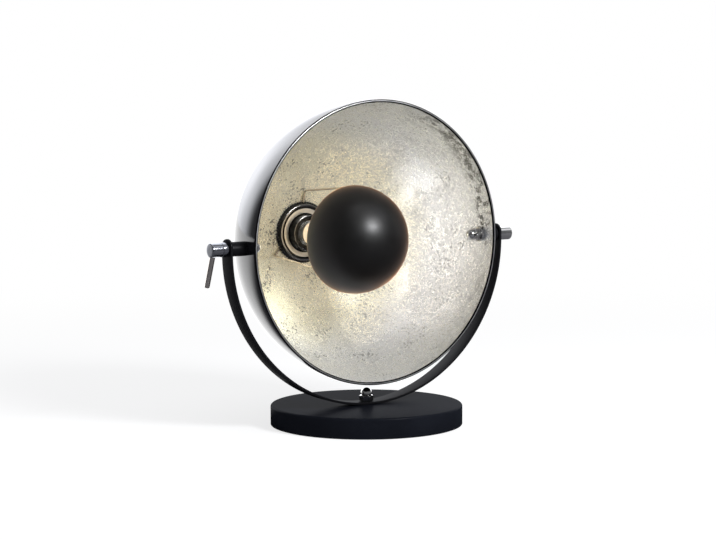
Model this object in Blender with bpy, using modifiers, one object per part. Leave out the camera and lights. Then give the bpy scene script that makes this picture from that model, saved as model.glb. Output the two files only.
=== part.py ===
"""Table lamp: a spun dish shade that tilts in a strip-steel yoke on a round base.

Lengths are in metres and +Z is up. The origin is the centre of the base's underside,
the tilt axis lies along X, and the mouth of the shade faces -Y at rest.
"""

import math

import bmesh
import bpy
from mathutils import Matrix, Vector

# Fits shared by all pieces
SEAT_GAP = 0.0003
BORE_GAP = 0.0003
CUT_OVERRUN = 0.002
MERGE_DISTANCE = 0.00001
SMOOTH_ANGLE = math.radians(32.0)

# Facets round a turned piece
LARGE_STEPS = 48
CAP_STEPS = 36
MEDIUM_STEPS = 24
SMALL_STEPS = 18
TINY_STEPS = 12

# Base
BASE_RADIUS = 0.1018
BASE_HEIGHT = 0.022
BASE_WALL = 0.0015
BASE_EDGE_RADIUS = 0.0022
BASE_EDGE_SEGMENTS = 3
BASE_SKIRT_LIFT = 0.0007
PAD_THICKNESS = 0.002
POCKET_RADIUS = 0.0105
POCKET_DEPTH = 0.0078

# M8 fasteners
BOLT_RADIUS = 0.004
BOLT_CHAMFER = 0.0006
HEX_SIDES = 6
HEX_FLATS = 0.013
HEX_CORNER_RADIUS = HEX_FLATS / 2 / math.cos(math.pi / HEX_SIDES)
HEX_CHAMFER = 0.0007
HEAD_HEIGHT = 0.0053
NUT_HEX_HEIGHT = 0.0062
NUT_HEIGHT = 0.0145
NUT_TOP_CHAMFER = 0.0014
NUT_DOME_RADIUS = 0.0060
NUT_DOME_END = 68.0
NUT_DOME_SEGMENTS = 3
NUT_BORE_DEPTH = 0.0098
THREAD_END_GAP = 0.0008
WASHER_RADIUS = 0.008
WASHER_THICKNESS = 0.0016

# Yoke
YOKE_REACH_PAST_DISH = 0.0190
YOKE_LEG_LENGTH = 0.0040
YOKE_WIDTH = 0.0192
YOKE_THICKNESS = 0.0025
YOKE_FLAT_LENGTH = 0.020
YOKE_EYE_RADIUS = 0.0107
YOKE_EDGE_CHAMFER = 0.0004
YOKE_BOW_SEGMENTS = 15
EYE_SEGMENTS = 12

# Shade dish
DISH_RADIUS = 0.150
DISH_BOWL_DEPTH = 0.160
DISH_WALL = 0.001
DISH_FLAT_RADIUS = 0.034
RIM_AHEAD_OF_PIVOT = 0.026
LIP_RADIUS = 0.0013
DISH_CURVE_SEGMENTS = 11
LIP_SEGMENTS = 4

# Pivot hardware
SLEEVE_RADIUS = 0.0075
SLEEVE_CHAMFER = 0.0005
SADDLE_THIN_EDGE = 0.0011
COLLAR_LENGTH = 0.0062
COLLAR_CHAMFER = 0.0004
KNOB_RADIUS = 0.0075
KNOB_LENGTH = 0.0125
KNOB_CHAMFER = 0.0010
KNOB_BORE_DEPTH = 0.0045
END_CAP_LENGTH = 0.0157
END_CAP_BORE_DEPTH = 0.0100
LEVER_RADIUS = 0.0028
LEVER_CHAMFER = 0.0006
LEVER_REACH = 0.039
LEVER_SOCKET_DEPTH = 0.0056
LEVER_FROM_KNOB_END = 0.0046
LEVER_LEAN = math.radians(21.0)

# Lampholder
HOLDER_SKIRT_RADIUS = 0.01975
HOLDER_SKIRT_PROUD = 0.0100
HOLDER_FLANGE_RADIUS = 0.0245
HOLDER_FLANGE_THICKNESS = 0.0030
HOLDER_BODY_RADIUS = 0.0228
HOLDER_BODY_LENGTH = 0.0150
HOLDER_EDGE = 0.0006
HOLDER_FLOOR_THICKNESS = 0.0035
INSERT_RADIUS = 0.0195
INSERT_THICKNESS = 0.0075
SHELL_RADIUS = 0.0139
SHELL_WALL = 0.0004
SHELL_RECESS = 0.0010
CONTACT_HEAD_RADIUS = 0.0045
CONTACT_HEAD_THICKNESS = 0.0009
CONTACT_SHANK_RADIUS = 0.0019
CONTACT_TAIL = 0.0012
REAR_CAP_LENGTH = 0.0180
REAR_CAP_TAPER_SHARE = 0.5
REAR_CAP_WALL = 0.0020
REAR_CAP_SHOULDER_RADIUS = 0.0120
REAR_CAP_SPIGOT_LENGTH = 0.0030
NIPPLE_RADIUS = 0.0050
NIPPLE_BORE_RADIUS = 0.0036
GLAND_RADIUS = 0.0080
GLAND_LENGTH = 0.0095
GLAND_CHAMFER = 0.0012
GLAND_MOUTH_RADIUS = 0.0056
CORD_BORE_RADIUS = 0.0036

# Shade ring on the lampholder's skirt
RING_BACK_RADIUS = 0.0323
RING_FRONT_RADIUS = 0.0308
RING_THICKNESS = 0.0040
RING_EDGE = 0.0005
RING_GROOVE_OUTER = 0.0289
RING_GROOVE_INNER = 0.0268
RING_GROOVE_DEPTH = 0.0012
RING_NOTCH_COUNT = 24
RING_NOTCH_SIDES = 4
RING_NOTCH_RADIUS = 0.0009
RING_NOTCH_TURN_SHARE = 0.25

# Glare cap and its wire frame
FRAME_PLATE_RADIUS = 0.0340
FRAME_PLATE_THICKNESS = 0.0010
WIRE_RADIUS = 0.0011
WIRE_ROUND_RESOLUTION = 2
WIRE_WELD_OVERLAP = 0.0013
WIRE_CORNER_RADIUS = 0.0460
WIRE_WALL_CLEARANCE = 0.0007
WIRE_BEND_RADIUS = 0.0035
WIRE_BEND_SEGMENTS = 3
WIRE_STRAIGHT_BEHIND_CAP = 0.0030
WIRE_ANGLES = [math.radians(degrees) for degrees in (90.0, 210.0, 330.0)]
CAP_RADIUS = 0.0577
CAP_WALL = 0.0010
CAP_CENTRE_DEPTH = 0.0488
CAP_SKIRT = 0.0030
CAP_CURVE_SEGMENTS = 6

# Bulb with an E27 cap
BULB_LENGTH = 0.1040
BULB_RADIUS = 0.0300
BULB_WALL = 0.0008
BULB_NECK_RADIUS = 0.0125
BULB_NECK_LENGTH = 0.0140
BULB_BALL_END = 35.0
BULB_SHOULDER_SHARE = 0.25
BULB_CAP_RADIUS = 0.0132
BULB_CAP_WALL = 0.0004
BULB_CAP_HEIGHT = 0.0265
BULB_CAP_FOOT = 0.0040
BULB_INSULATOR_RADIUS = 0.0095
BULB_PIP_RADIUS = 0.0042
BULB_PIP_HEIGHT = 0.0013
BULB_PLUG_SHARE = 0.5
BULB_CURVE_SEGMENTS = 6

# Places along Z at the base and the yoke
BASE_TOP_INSIDE = BASE_HEIGHT - BASE_WALL
YOKE_UNDERSIDE = BASE_HEIGHT + SEAT_GAP
YOKE_TOP_SIDE = YOKE_UNDERSIDE + YOKE_THICKNESS
YOKE_RADIUS = DISH_RADIUS + YOKE_REACH_PAST_DISH
YOKE_INNER_RADIUS = YOKE_RADIUS - YOKE_THICKNESS
YOKE_BOW_CENTRE = YOKE_UNDERSIDE + math.sqrt(YOKE_RADIUS**2 - (YOKE_FLAT_LENGTH / 2) ** 2)
PIVOT_HEIGHT = YOKE_BOW_CENTRE + YOKE_LEG_LENGTH
BOLT_HOLE_RADIUS = BOLT_RADIUS + BORE_GAP
YOKE_NUT_SEAT = YOKE_TOP_SIDE + SEAT_GAP

# Places along the shade's own depth, counted back from the plane of its rim
DISH_BACK_OUTSIDE = DISH_BOWL_DEPTH * math.sqrt(1.0 - (DISH_FLAT_RADIUS / DISH_RADIUS) ** 2)
DISH_BACK_INSIDE = DISH_BACK_OUTSIDE - DISH_WALL
FRAME_PLATE_FRONT = DISH_BACK_INSIDE - SEAT_GAP - FRAME_PLATE_THICKNESS
RING_BACK = FRAME_PLATE_FRONT - SEAT_GAP
RING_FRONT = RING_BACK - RING_THICKNESS
SKIRT_FRONT = RING_FRONT - HOLDER_SKIRT_PROUD
FLANGE_FRONT = DISH_BACK_OUTSIDE + SEAT_GAP
HOLDER_BACK = FLANGE_FRONT + HOLDER_BODY_LENGTH
INSERT_BACK = HOLDER_BACK - REAR_CAP_SPIGOT_LENGTH - SEAT_GAP
INSERT_FRONT = INSERT_BACK - INSERT_THICKNESS
HOLDER_FLOOR_BACK = INSERT_FRONT - SEAT_GAP
CONTACT_FRONT = INSERT_FRONT - SEAT_GAP - CONTACT_HEAD_THICKNESS
BULB_PIP_END = CONTACT_FRONT - SEAT_GAP
BULB_CAP_FRONT = BULB_PIP_END - BULB_CAP_HEIGHT
REAR_CAP_FRONT = HOLDER_BACK + SEAT_GAP
REAR_CAP_BACK = REAR_CAP_FRONT + REAR_CAP_LENGTH
GLAND_FRONT = REAR_CAP_BACK + SEAT_GAP
CAP_REAR_EDGE = CAP_CENTRE_DEPTH + CAP_SKIRT

# Places along X on either side of the pivot axis
SADDLE_DEEP_EDGE = RIM_AHEAD_OF_PIVOT + WASHER_RADIUS
SADDLE_BOWL_RADIUS = (DISH_RADIUS - DISH_WALL) * math.sqrt(
    1.0 - (SADDLE_DEEP_EDGE / (DISH_BOWL_DEPTH - DISH_WALL)) ** 2
)
SADDLE_INNER_X = SADDLE_BOWL_RADIUS - SADDLE_THIN_EDGE
INNER_NUT_SEAT_X = SADDLE_INNER_X - SEAT_GAP
STUD_INNER_X = INNER_NUT_SEAT_X - NUT_BORE_DEPTH + THREAD_END_GAP
SLEEVE_OUTER_X = YOKE_INNER_RADIUS - SEAT_GAP
OUTSIDE_X = YOKE_RADIUS + SEAT_GAP
KNOB_INNER_X = OUTSIDE_X + COLLAR_LENGTH + SEAT_GAP
KNOB_OUTER_X = KNOB_INNER_X + KNOB_LENGTH
LEVER_X = KNOB_OUTER_X - LEVER_FROM_KNOB_END

# Turns from a profile's own Z to the axis that a piece lies on
ALONG_Y = (math.radians(-90.0), 0.0, 0.0)
ALONG_X = {1: (0.0, math.radians(90.0), 0.0), -1: (0.0, math.radians(-90.0), 0.0)}

# Colours as red, green, blue with roughness and metallic value
FINISHES = {
    "black_lacquer": ((0.012, 0.012, 0.014), 0.12, 0.0),
    "black_satin": ((0.018, 0.018, 0.019), 0.42, 0.0),
    "black_cap": ((0.010, 0.010, 0.011), 0.35, 0.0),
    "polished_chrome": ((0.78, 0.78, 0.79), 0.10, 1.0),
    "steel_wire": ((0.62, 0.60, 0.56), 0.22, 1.0),
    "zinc_steel": ((0.52, 0.53, 0.55), 0.38, 1.0),
    "cement": ((0.42, 0.41, 0.39), 0.90, 0.0),
    "phenolic": ((0.014, 0.013, 0.012), 0.30, 0.0),
    "porcelain": ((0.82, 0.80, 0.75), 0.25, 0.0),
    "brass": ((0.76, 0.58, 0.28), 0.25, 1.0),
    "opal_glass": ((0.95, 0.90, 0.76), 0.20, 0.0),
    "felt": ((0.03, 0.03, 0.03), 0.95, 0.0),
    "soft_rubber": ((0.02, 0.02, 0.02), 0.70, 0.0),
    "aluminium": ((0.72, 0.72, 0.72), 0.30, 1.0),
}


def clear_scene():
    for old in list(bpy.data.objects):
        bpy.data.objects.remove(old, do_unlink=True)


def new_collection(name, hidden=False):
    collection = bpy.data.collections.new(name)
    collection.hide_render = hidden
    bpy.context.scene.collection.children.link(collection)
    return collection


def finish_material(name):
    """Principled material for one of the named finishes, made once."""
    found = bpy.data.materials.get(name)
    if found:
        return found
    color, roughness, metallic = FINISHES[name]
    made = bpy.data.materials.new(name)
    made.use_nodes = True
    shader = made.node_tree.nodes["Principled BSDF"]
    shader.inputs["Base Color"].default_value = (*color, 1.0)
    shader.inputs["Roughness"].default_value = roughness
    shader.inputs["Metallic"].default_value = metallic
    return made


def pivot_empty(name, location):
    empty = bpy.data.objects.new(name, None)
    empty.location = location
    PARTS.objects.link(empty)
    return empty


def add_part(name, mesh, finish, parent, rotation=(0.0, 0.0, 0.0), location=(0.0, 0.0, 0.0)):
    """One piece of the lamp, shaded smooth up to its sharp edges."""
    mesh.shade_smooth()
    mesh.set_sharp_from_angle(angle=SMOOTH_ANGLE)
    mesh.materials.clear()
    mesh.materials.append(finish_material(finish))
    obj = bpy.data.objects.new(name, mesh)
    obj.parent = parent
    obj.rotation_euler = rotation
    obj.location = location
    PARTS.objects.link(obj)
    return obj


def add_cutter(name, mesh, parent, rotation=(0.0, 0.0, 0.0), location=(0.0, 0.0, 0.0)):
    obj = bpy.data.objects.new(name, mesh)
    obj.parent = parent
    obj.rotation_euler = rotation
    obj.location = location
    obj.hide_render = True
    obj.display_type = "WIRE"
    CUTTERS.objects.link(obj)
    return obj


def boolean(obj, tool, operation):
    modifier = obj.modifiers.new(tool.name, "BOOLEAN")
    modifier.operation = operation
    modifier.solver = "EXACT"
    modifier.object = tool


def evaluated_mesh(obj):
    """Mesh of an object with its modifiers, joined up; the object itself is removed."""
    bpy.context.view_layer.update()
    graph = bpy.context.evaluated_depsgraph_get()
    mesh = bpy.data.meshes.new_from_object(obj.evaluated_get(graph))
    bm = bmesh.new()
    bm.from_mesh(mesh)
    bmesh.ops.remove_doubles(bm, verts=bm.verts, dist=MERGE_DISTANCE)
    bm.to_mesh(mesh)
    bm.free()
    bpy.data.objects.remove(obj, do_unlink=True)
    return mesh


def arc(centre_radius, centre_height, radius, start_degrees, end_degrees, segments):
    """Points of a round stretch of a profile, as (radius, height) pairs."""
    points = []
    for index in range(segments + 1):
        angle = math.radians(start_degrees + (end_degrees - start_degrees) * index / segments)
        points.append((centre_radius + radius * math.cos(angle), centre_height + radius * math.sin(angle)))
    return points


def turned_mesh(name, profile, steps):
    """A profile of (radius, height) pairs turned about Z.

    A profile that starts and ends on the axis makes a solid, any other closes on itself.
    It is reversed where needed, so that its outer side runs down.
    """
    on_axis = profile[0][0] == 0.0 and profile[-1][0] == 0.0
    area = sum(a[0] * b[1] - b[0] * a[1] for a, b in zip(profile, profile[1:] + profile[:1]))
    ordered = profile if area < 0.0 else profile[::-1]
    count = len(ordered)
    edges = [(index, index + 1) for index in range(count - 1)]
    if not on_axis:
        edges.append((count - 1, 0))
    outline = bpy.data.meshes.new(name)
    outline.from_pydata([(radius, 0.0, height) for radius, height in ordered], edges, [])
    blank = bpy.data.objects.new(name, outline)
    CUTTERS.objects.link(blank)
    screw = blank.modifiers.new("turn", "SCREW")
    screw.axis = "Z"
    screw.steps = steps
    screw.render_steps = steps
    screw.use_merge_vertices = True
    screw.merge_threshold = MERGE_DISTANCE
    return evaluated_mesh(blank)


def tube_profile(outer, inner, low, high, chamfer=0.0):
    """Outline of a plain tube with a chamfer on its two outer edges."""
    if chamfer == 0.0:
        return [(inner, high), (outer, high), (outer, low), (inner, low)]
    return [
        (inner, high),
        (outer - chamfer, high),
        (outer, high - chamfer),
        (outer, low + chamfer),
        (outer - chamfer, low),
        (inner, low),
    ]


def rod_profile(radius, low, high, chamfer):
    return [
        (0.0, high),
        (radius - chamfer, high),
        (radius, high - chamfer),
        (radius, low + chamfer),
        (radius - chamfer, low),
        (0.0, low),
    ]


def prism_mesh(name, sides, radius, low, high, turn=0.0):
    """Upright prism or cylinder between two heights, its corners at the given radius."""
    bm = bmesh.new()
    bmesh.ops.create_cone(
        bm, cap_ends=True, segments=sides, radius1=radius, radius2=radius, depth=high - low
    )
    bmesh.ops.translate(bm, verts=bm.verts, vec=(0.0, 0.0, (high + low) / 2))
    for vert in bm.verts:
        x, y = vert.co.x, vert.co.y
        vert.co.x = x * math.cos(turn) - y * math.sin(turn)
        vert.co.y = x * math.sin(turn) + y * math.cos(turn)
    mesh = bpy.data.meshes.new(name)
    bm.to_mesh(mesh)
    bm.free()
    return mesh


def flat_outline_mesh(name, points, half_thickness, chamfer=0.0):
    """Filled flat outline in local XY, thickened both ways along Z."""
    curve = bpy.data.curves.new(name, "CURVE")
    curve.dimensions = "2D"
    curve.fill_mode = "BOTH"
    curve.extrude = half_thickness - chamfer
    curve.bevel_depth = chamfer
    curve.bevel_resolution = 0
    curve.offset = -chamfer
    spline = curve.splines.new("POLY")
    spline.points.add(len(points) - 1)
    for point, (x, y) in zip(spline.points, points):
        point.co = (x, y, 0.0, 1.0)
    spline.use_cyclic_u = True
    blank = bpy.data.objects.new(name, curve)
    CUTTERS.objects.link(blank)
    return evaluated_mesh(blank)


def rounded_route(corners, radius, segments):
    """Points of a path through the corners, each inner corner rounded by an arc."""
    route = [corners[0]]
    for before, corner, after in zip(corners, corners[1:], corners[2:]):
        back = (before - corner).normalized()
        ahead = (after - corner).normalized()
        half = back.angle(ahead) / 2
        reach = radius / math.tan(half)
        centre = corner + (back + ahead).normalized() * (radius / math.sin(half))
        first = corner + back * reach - centre
        last = corner + ahead * reach - centre
        sweep = first.angle(last)
        for index in range(segments + 1):
            share = index / segments
            left = math.sin((1.0 - share) * sweep) / math.sin(sweep)
            right = math.sin(share * sweep) / math.sin(sweep)
            route.append(centre + first * left + last * right)
    route.append(corners[-1])
    return route


def wires_mesh(name, routes, radius):
    """Round wires along several routes, as one mesh with closed ends."""
    curve = bpy.data.curves.new(name, "CURVE")
    curve.dimensions = "3D"
    curve.bevel_depth = radius
    curve.bevel_resolution = WIRE_ROUND_RESOLUTION
    curve.use_fill_caps = True
    for route in routes:
        spline = curve.splines.new("POLY")
        spline.points.add(len(route) - 1)
        for point, place in zip(spline.points, route):
            point.co = (*place, 1.0)
    blank = bpy.data.objects.new(name, curve)
    CUTTERS.objects.link(blank)
    return evaluated_mesh(blank)


def at_depth(depth):
    """Place along the shade's Y, from its pivot axis, of a depth behind the rim."""
    return depth - RIM_AHEAD_OF_PIVOT


def shade_profile(pairs):
    """Profile of (radius, depth) pairs moved to the shade's pivot frame."""
    return [(radius, at_depth(depth)) for radius, depth in pairs]


def bowl_curve(offset, from_radius, segments):
    """Points of the bowl's curve, grown by an offset, from a radius out to the rim."""
    radius = DISH_RADIUS + offset
    depth = DISH_BOWL_DEPTH + offset
    start = math.asin(from_radius / radius)
    end = math.acos(LIP_RADIUS / depth)
    points = []
    for index in range(segments + 1):
        angle = start + (end - start) * index / segments
        points.append((radius * math.sin(angle), depth * math.cos(angle)))
    return points


def base_cover():
    """Pressed steel cover with a rounded top edge and a hole for the centre bolt."""
    edge_radius = BASE_RADIUS - BASE_EDGE_RADIUS
    edge_height = BASE_HEIGHT - BASE_EDGE_RADIUS
    inner_edge = BASE_EDGE_RADIUS - BASE_WALL
    profile = [(BOLT_HOLE_RADIUS, BASE_HEIGHT)]
    profile += arc(edge_radius, edge_height, BASE_EDGE_RADIUS, 90.0, 0.0, BASE_EDGE_SEGMENTS)
    profile += [(BASE_RADIUS, BASE_SKIRT_LIFT), (BASE_RADIUS - BASE_WALL, BASE_SKIRT_LIFT)]
    profile += arc(edge_radius, edge_height, inner_edge, 0.0, 90.0, BASE_EDGE_SEGMENTS)
    profile.append((BOLT_HOLE_RADIUS, BASE_TOP_INSIDE))
    add_part("base_cover", turned_mesh("base_cover", profile, LARGE_STEPS), "black_satin", None)


def base_weight():
    """Cast cement disc that fills the cover, with a pocket below for the bolt's head."""
    outer = BASE_RADIUS - BASE_WALL - SEAT_GAP
    low = PAD_THICKNESS + SEAT_GAP
    high = BASE_TOP_INSIDE - SEAT_GAP
    chamfer = BASE_EDGE_RADIUS - BASE_WALL
    profile = [
        (BOLT_HOLE_RADIUS, high),
        (outer - chamfer, high),
        (outer, high - chamfer),
        (outer, low),
        (POCKET_RADIUS, low),
        (POCKET_RADIUS, low + POCKET_DEPTH),
        (BOLT_HOLE_RADIUS, low + POCKET_DEPTH),
    ]
    add_part("base_weight", turned_mesh("base_weight", profile, LARGE_STEPS), "cement", None)


def base_pad():
    radius = BASE_RADIUS - BASE_WALL - SEAT_GAP
    profile = [(0.0, PAD_THICKNESS), (radius, PAD_THICKNESS), (radius, 0.0), (0.0, 0.0)]
    add_part("base_pad", turned_mesh("base_pad", profile, LARGE_STEPS), "felt", None)


def hex_prism(name, low, high, parent, rotation=(0.0, 0.0, 0.0)):
    mesh = prism_mesh(name, HEX_SIDES, HEX_CORNER_RADIUS, low - CUT_OVERRUN, high + CUT_OVERRUN)
    return add_cutter(name, mesh, parent, rotation)


def acorn_nut(name, seat, parent, rotation=(0.0, 0.0, 0.0)):
    """Domed M8 nut on its seat at a height along its axis, with a blind bore."""
    top = seat + NUT_HEIGHT
    hex_top = seat + NUT_HEX_HEIGHT
    dome_centre = top - NUT_DOME_RADIUS
    profile = [
        (0.0, seat + NUT_BORE_DEPTH),
        (BOLT_HOLE_RADIUS, seat + NUT_BORE_DEPTH),
        (BOLT_HOLE_RADIUS, seat),
        (HEX_CORNER_RADIUS - HEX_CHAMFER, seat),
        (HEX_CORNER_RADIUS, seat + HEX_CHAMFER),
        (HEX_CORNER_RADIUS, hex_top - HEX_CHAMFER),
        (HEX_CORNER_RADIUS - NUT_TOP_CHAMFER, hex_top),
        (NUT_DOME_RADIUS, hex_top),
    ]
    profile += arc(0.0, dome_centre, NUT_DOME_RADIUS, 0.0, NUT_DOME_END, NUT_DOME_SEGMENTS)
    profile.append((0.0, top))
    nut = add_part(name, turned_mesh(name, profile, SMALL_STEPS), "polished_chrome", parent, rotation)
    boolean(nut, hex_prism(name + "_hexagon", seat, top, parent, rotation), "INTERSECT")


def base_bolt():
    """Hexagon bolt up through the weight and cover, and the washer on its head."""
    roof = PAD_THICKNESS + SEAT_GAP + POCKET_DEPTH
    washer_low = roof - SEAT_GAP - WASHER_THICKNESS
    head_top = washer_low - SEAT_GAP
    head_low = head_top - HEAD_HEIGHT
    end = YOKE_NUT_SEAT + NUT_BORE_DEPTH - THREAD_END_GAP
    profile = [
        (0.0, end),
        (BOLT_RADIUS - BOLT_CHAMFER, end),
        (BOLT_RADIUS, end - BOLT_CHAMFER),
        (BOLT_RADIUS, head_top),
        (HEX_CORNER_RADIUS, head_top),
        (HEX_CORNER_RADIUS, head_low + HEX_CHAMFER),
        (HEX_CORNER_RADIUS - HEX_CHAMFER, head_low),
        (0.0, head_low),
    ]
    bolt = add_part("base_bolt", turned_mesh("base_bolt", profile, SMALL_STEPS), "zinc_steel", None)
    boolean(bolt, hex_prism("base_bolt_hexagon", head_low, end, None), "INTERSECT")
    washer = tube_profile(WASHER_RADIUS, BOLT_HOLE_RADIUS, washer_low, washer_low + WASHER_THICKNESS)
    add_part("base_washer", turned_mesh("base_washer", washer, SMALL_STEPS), "zinc_steel", None)


def yoke_outline():
    """Side outline of the strip: two short legs, a round bow and a flat foot."""
    foot_angle = math.asin(YOKE_FLAT_LENGTH / 2 / YOKE_RADIUS)
    top = PIVOT_HEIGHT + YOKE_EYE_RADIUS + CUT_OVERRUN
    inner_foot_angle = math.acos((YOKE_BOW_CENTRE - YOKE_TOP_SIDE) / YOKE_INNER_RADIUS)
    sides = []
    for radius, from_foot in ((YOKE_RADIUS, foot_angle), (YOKE_INNER_RADIUS, inner_foot_angle)):
        half = [(radius, top)]
        for index in range(YOKE_BOW_SEGMENTS + 1):
            angle = math.pi / 2 + (from_foot - math.pi / 2) * index / YOKE_BOW_SEGMENTS
            half.append((radius * math.sin(angle), YOKE_BOW_CENTRE - radius * math.cos(angle)))
        sides.append([(-x, z) for x, z in half] + half[::-1])
    outer, inner = sides
    return outer + inner[::-1]


def eye_outline():
    """Outline seen along X that rounds the strip's two ends about the pivot axis."""
    points = []
    for index in range(EYE_SEGMENTS + 1):
        angle = math.pi * index / EYE_SEGMENTS
        points.append((YOKE_EYE_RADIUS * math.cos(angle), PIVOT_HEIGHT + YOKE_EYE_RADIUS * math.sin(angle)))
    points += [(-YOKE_EYE_RADIUS, -CUT_OVERRUN), (YOKE_EYE_RADIUS, -CUT_OVERRUN)]
    return points


def yoke_strip(yoke):
    """Flat steel strip bent to a U, with round ends, two pivot holes and a foot hole."""
    upright = (math.radians(90.0), 0.0, 0.0)
    side_on = (math.radians(90.0), 0.0, math.radians(90.0))
    mesh = flat_outline_mesh("yoke_strip", yoke_outline(), YOKE_WIDTH / 2, YOKE_EDGE_CHAMFER)
    strip = add_part("yoke_strip", mesh, "black_satin", yoke, upright)
    eye = flat_outline_mesh("yoke_eye", eye_outline(), YOKE_RADIUS + CUT_OVERRUN)
    boolean(strip, add_cutter("yoke_eye", eye, yoke, side_on), "INTERSECT")
    reach = YOKE_RADIUS + CUT_OVERRUN
    across = prism_mesh("yoke_pivot_holes", SMALL_STEPS, BOLT_HOLE_RADIUS, -reach, reach)
    holes = add_cutter("yoke_pivot_holes", across, yoke, ALONG_X[1], (0.0, 0.0, PIVOT_HEIGHT))
    boolean(strip, holes, "DIFFERENCE")
    low, high = YOKE_UNDERSIDE - CUT_OVERRUN, YOKE_TOP_SIDE + CUT_OVERRUN
    foot = prism_mesh("yoke_foot_hole", SMALL_STEPS, BOLT_HOLE_RADIUS, low, high)
    boolean(strip, add_cutter("yoke_foot_hole", foot, yoke), "DIFFERENCE")


def shade_shell(shade):
    """Spun bowl with a rolled-in lip, a flat back with the holder's hole and two pivot holes."""
    hole = HOLDER_SKIRT_RADIUS + BORE_GAP
    outside = bowl_curve(0.0, DISH_FLAT_RADIUS, DISH_CURVE_SEGMENTS)
    lip = arc(DISH_RADIUS - LIP_RADIUS, LIP_RADIUS, LIP_RADIUS, 0.0, -180.0, LIP_SEGMENTS)[1:]
    inside = bowl_curve(-DISH_WALL, DISH_FLAT_RADIUS, DISH_CURVE_SEGMENTS)[:-1]
    inside.append((DISH_RADIUS - DISH_WALL, 2 * LIP_RADIUS))
    inside[0] = (DISH_FLAT_RADIUS - DISH_WALL, DISH_BACK_INSIDE)
    profile = [(hole, DISH_BACK_OUTSIDE)] + outside + lip + inside[::-1] + [(hole, DISH_BACK_INSIDE)]
    mesh = turned_mesh("shade_shell", shade_profile(profile), LARGE_STEPS)
    shell = add_part("shade_shell", mesh, "black_lacquer", shade, ALONG_Y)
    reach = DISH_RADIUS + CUT_OVERRUN
    across = prism_mesh("shade_pivot_holes", SMALL_STEPS, BOLT_HOLE_RADIUS, -reach, reach)
    boolean(shell, add_cutter("shade_pivot_holes", across, shade, ALONG_X[1]), "DIFFERENCE")


def bowl_solid(name, offset, shade):
    """Solid inside the bowl's curve grown by an offset, to fit pieces to its wall."""
    curve = bowl_curve(offset, DISH_FLAT_RADIUS, DISH_CURVE_SEGMENTS)
    profile = [(0.0, curve[0][1])] + curve + [(0.0, curve[-1][1])]
    return add_cutter(name, turned_mesh(name, shade_profile(profile), LARGE_STEPS), shade, ALONG_Y)


def pivot_side(side, sign, shade, outside_bowl, inside_bowl):
    """Sleeve, stud, shaped washer and domed nut that carry one side of the shade."""
    turn = ALONG_X[sign]
    inward = ALONG_X[-sign]
    sleeve_profile = tube_profile(
        SLEEVE_RADIUS, BOLT_HOLE_RADIUS, SADDLE_INNER_X, SLEEVE_OUTER_X, SLEEVE_CHAMFER
    )
    name = "pivot_sleeve_" + side
    sleeve = add_part(name, turned_mesh(name, sleeve_profile, SMALL_STEPS), "black_satin", shade, turn)
    boolean(sleeve, outside_bowl, "DIFFERENCE")

    name = "saddle_washer_" + side
    washer_profile = tube_profile(WASHER_RADIUS, BOLT_HOLE_RADIUS, SADDLE_INNER_X, SLEEVE_OUTER_X)
    washer = add_part(name, turned_mesh(name, washer_profile, SMALL_STEPS), "polished_chrome", shade, turn)
    boolean(washer, inside_bowl, "INTERSECT")

    acorn_nut("dish_nut_" + side, -INNER_NUT_SEAT_X, shade, inward)

    bore = KNOB_INNER_X + KNOB_BORE_DEPTH if sign < 0 else OUTSIDE_X + END_CAP_BORE_DEPTH
    stud = rod_profile(BOLT_RADIUS, STUD_INNER_X, bore - THREAD_END_GAP, BOLT_CHAMFER)
    name = "pivot_stud_" + side
    add_part(name, turned_mesh(name, stud, TINY_STEPS), "zinc_steel", shade, turn)


def blind_cap_profile(radius, low, high, chamfer, bore_depth):
    """Outline of a round cap with a blind bore from its low end."""
    return [
        (0.0, high),
        (radius - chamfer, high),
        (radius, high - chamfer),
        (radius, low),
        (BOLT_HOLE_RADIUS, low),
        (BOLT_HOLE_RADIUS, low + bore_depth),
        (0.0, low + bore_depth),
    ]


def end_cap(shade):
    """Chrome cap screwed on the right stud, outside the yoke."""
    high = OUTSIDE_X + END_CAP_LENGTH
    profile = blind_cap_profile(KNOB_RADIUS, OUTSIDE_X, high, KNOB_CHAMFER, END_CAP_BORE_DEPTH)
    add_part("end_cap", turned_mesh("end_cap", profile, SMALL_STEPS), "polished_chrome", shade, ALONG_X[1])


def clamp(clamp_axis):
    """Collar, knob and lever that clamp the tilt on the left stud."""
    left = ALONG_X[-1]
    collar = tube_profile(
        KNOB_RADIUS, BOLT_HOLE_RADIUS, OUTSIDE_X, OUTSIDE_X + COLLAR_LENGTH, COLLAR_CHAMFER
    )
    mesh = turned_mesh("clamp_collar", collar, SMALL_STEPS)
    add_part("clamp_collar", mesh, "polished_chrome", clamp_axis, left)

    profile = blind_cap_profile(KNOB_RADIUS, KNOB_INNER_X, KNOB_OUTER_X, KNOB_CHAMFER, KNOB_BORE_DEPTH)
    mesh = turned_mesh("clamp_knob", profile, SMALL_STEPS)
    knob = add_part("clamp_knob", mesh, "polished_chrome", clamp_axis, left)

    hanging = (math.pi + LEVER_LEAN, 0.0, 0.0)
    place = (-LEVER_X, 0.0, 0.0)
    floor = KNOB_RADIUS - LEVER_SOCKET_DEPTH
    socket = prism_mesh(
        "lever_socket", TINY_STEPS, LEVER_RADIUS + BORE_GAP, floor, KNOB_RADIUS + CUT_OVERRUN
    )
    boolean(knob, add_cutter("lever_socket", socket, clamp_axis, hanging, place), "DIFFERENCE")
    rod = rod_profile(LEVER_RADIUS, floor + SEAT_GAP, LEVER_REACH, LEVER_CHAMFER)
    mesh = turned_mesh("clamp_lever", rod, TINY_STEPS)
    add_part("clamp_lever", mesh, "polished_chrome", clamp_axis, hanging, place)


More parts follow.
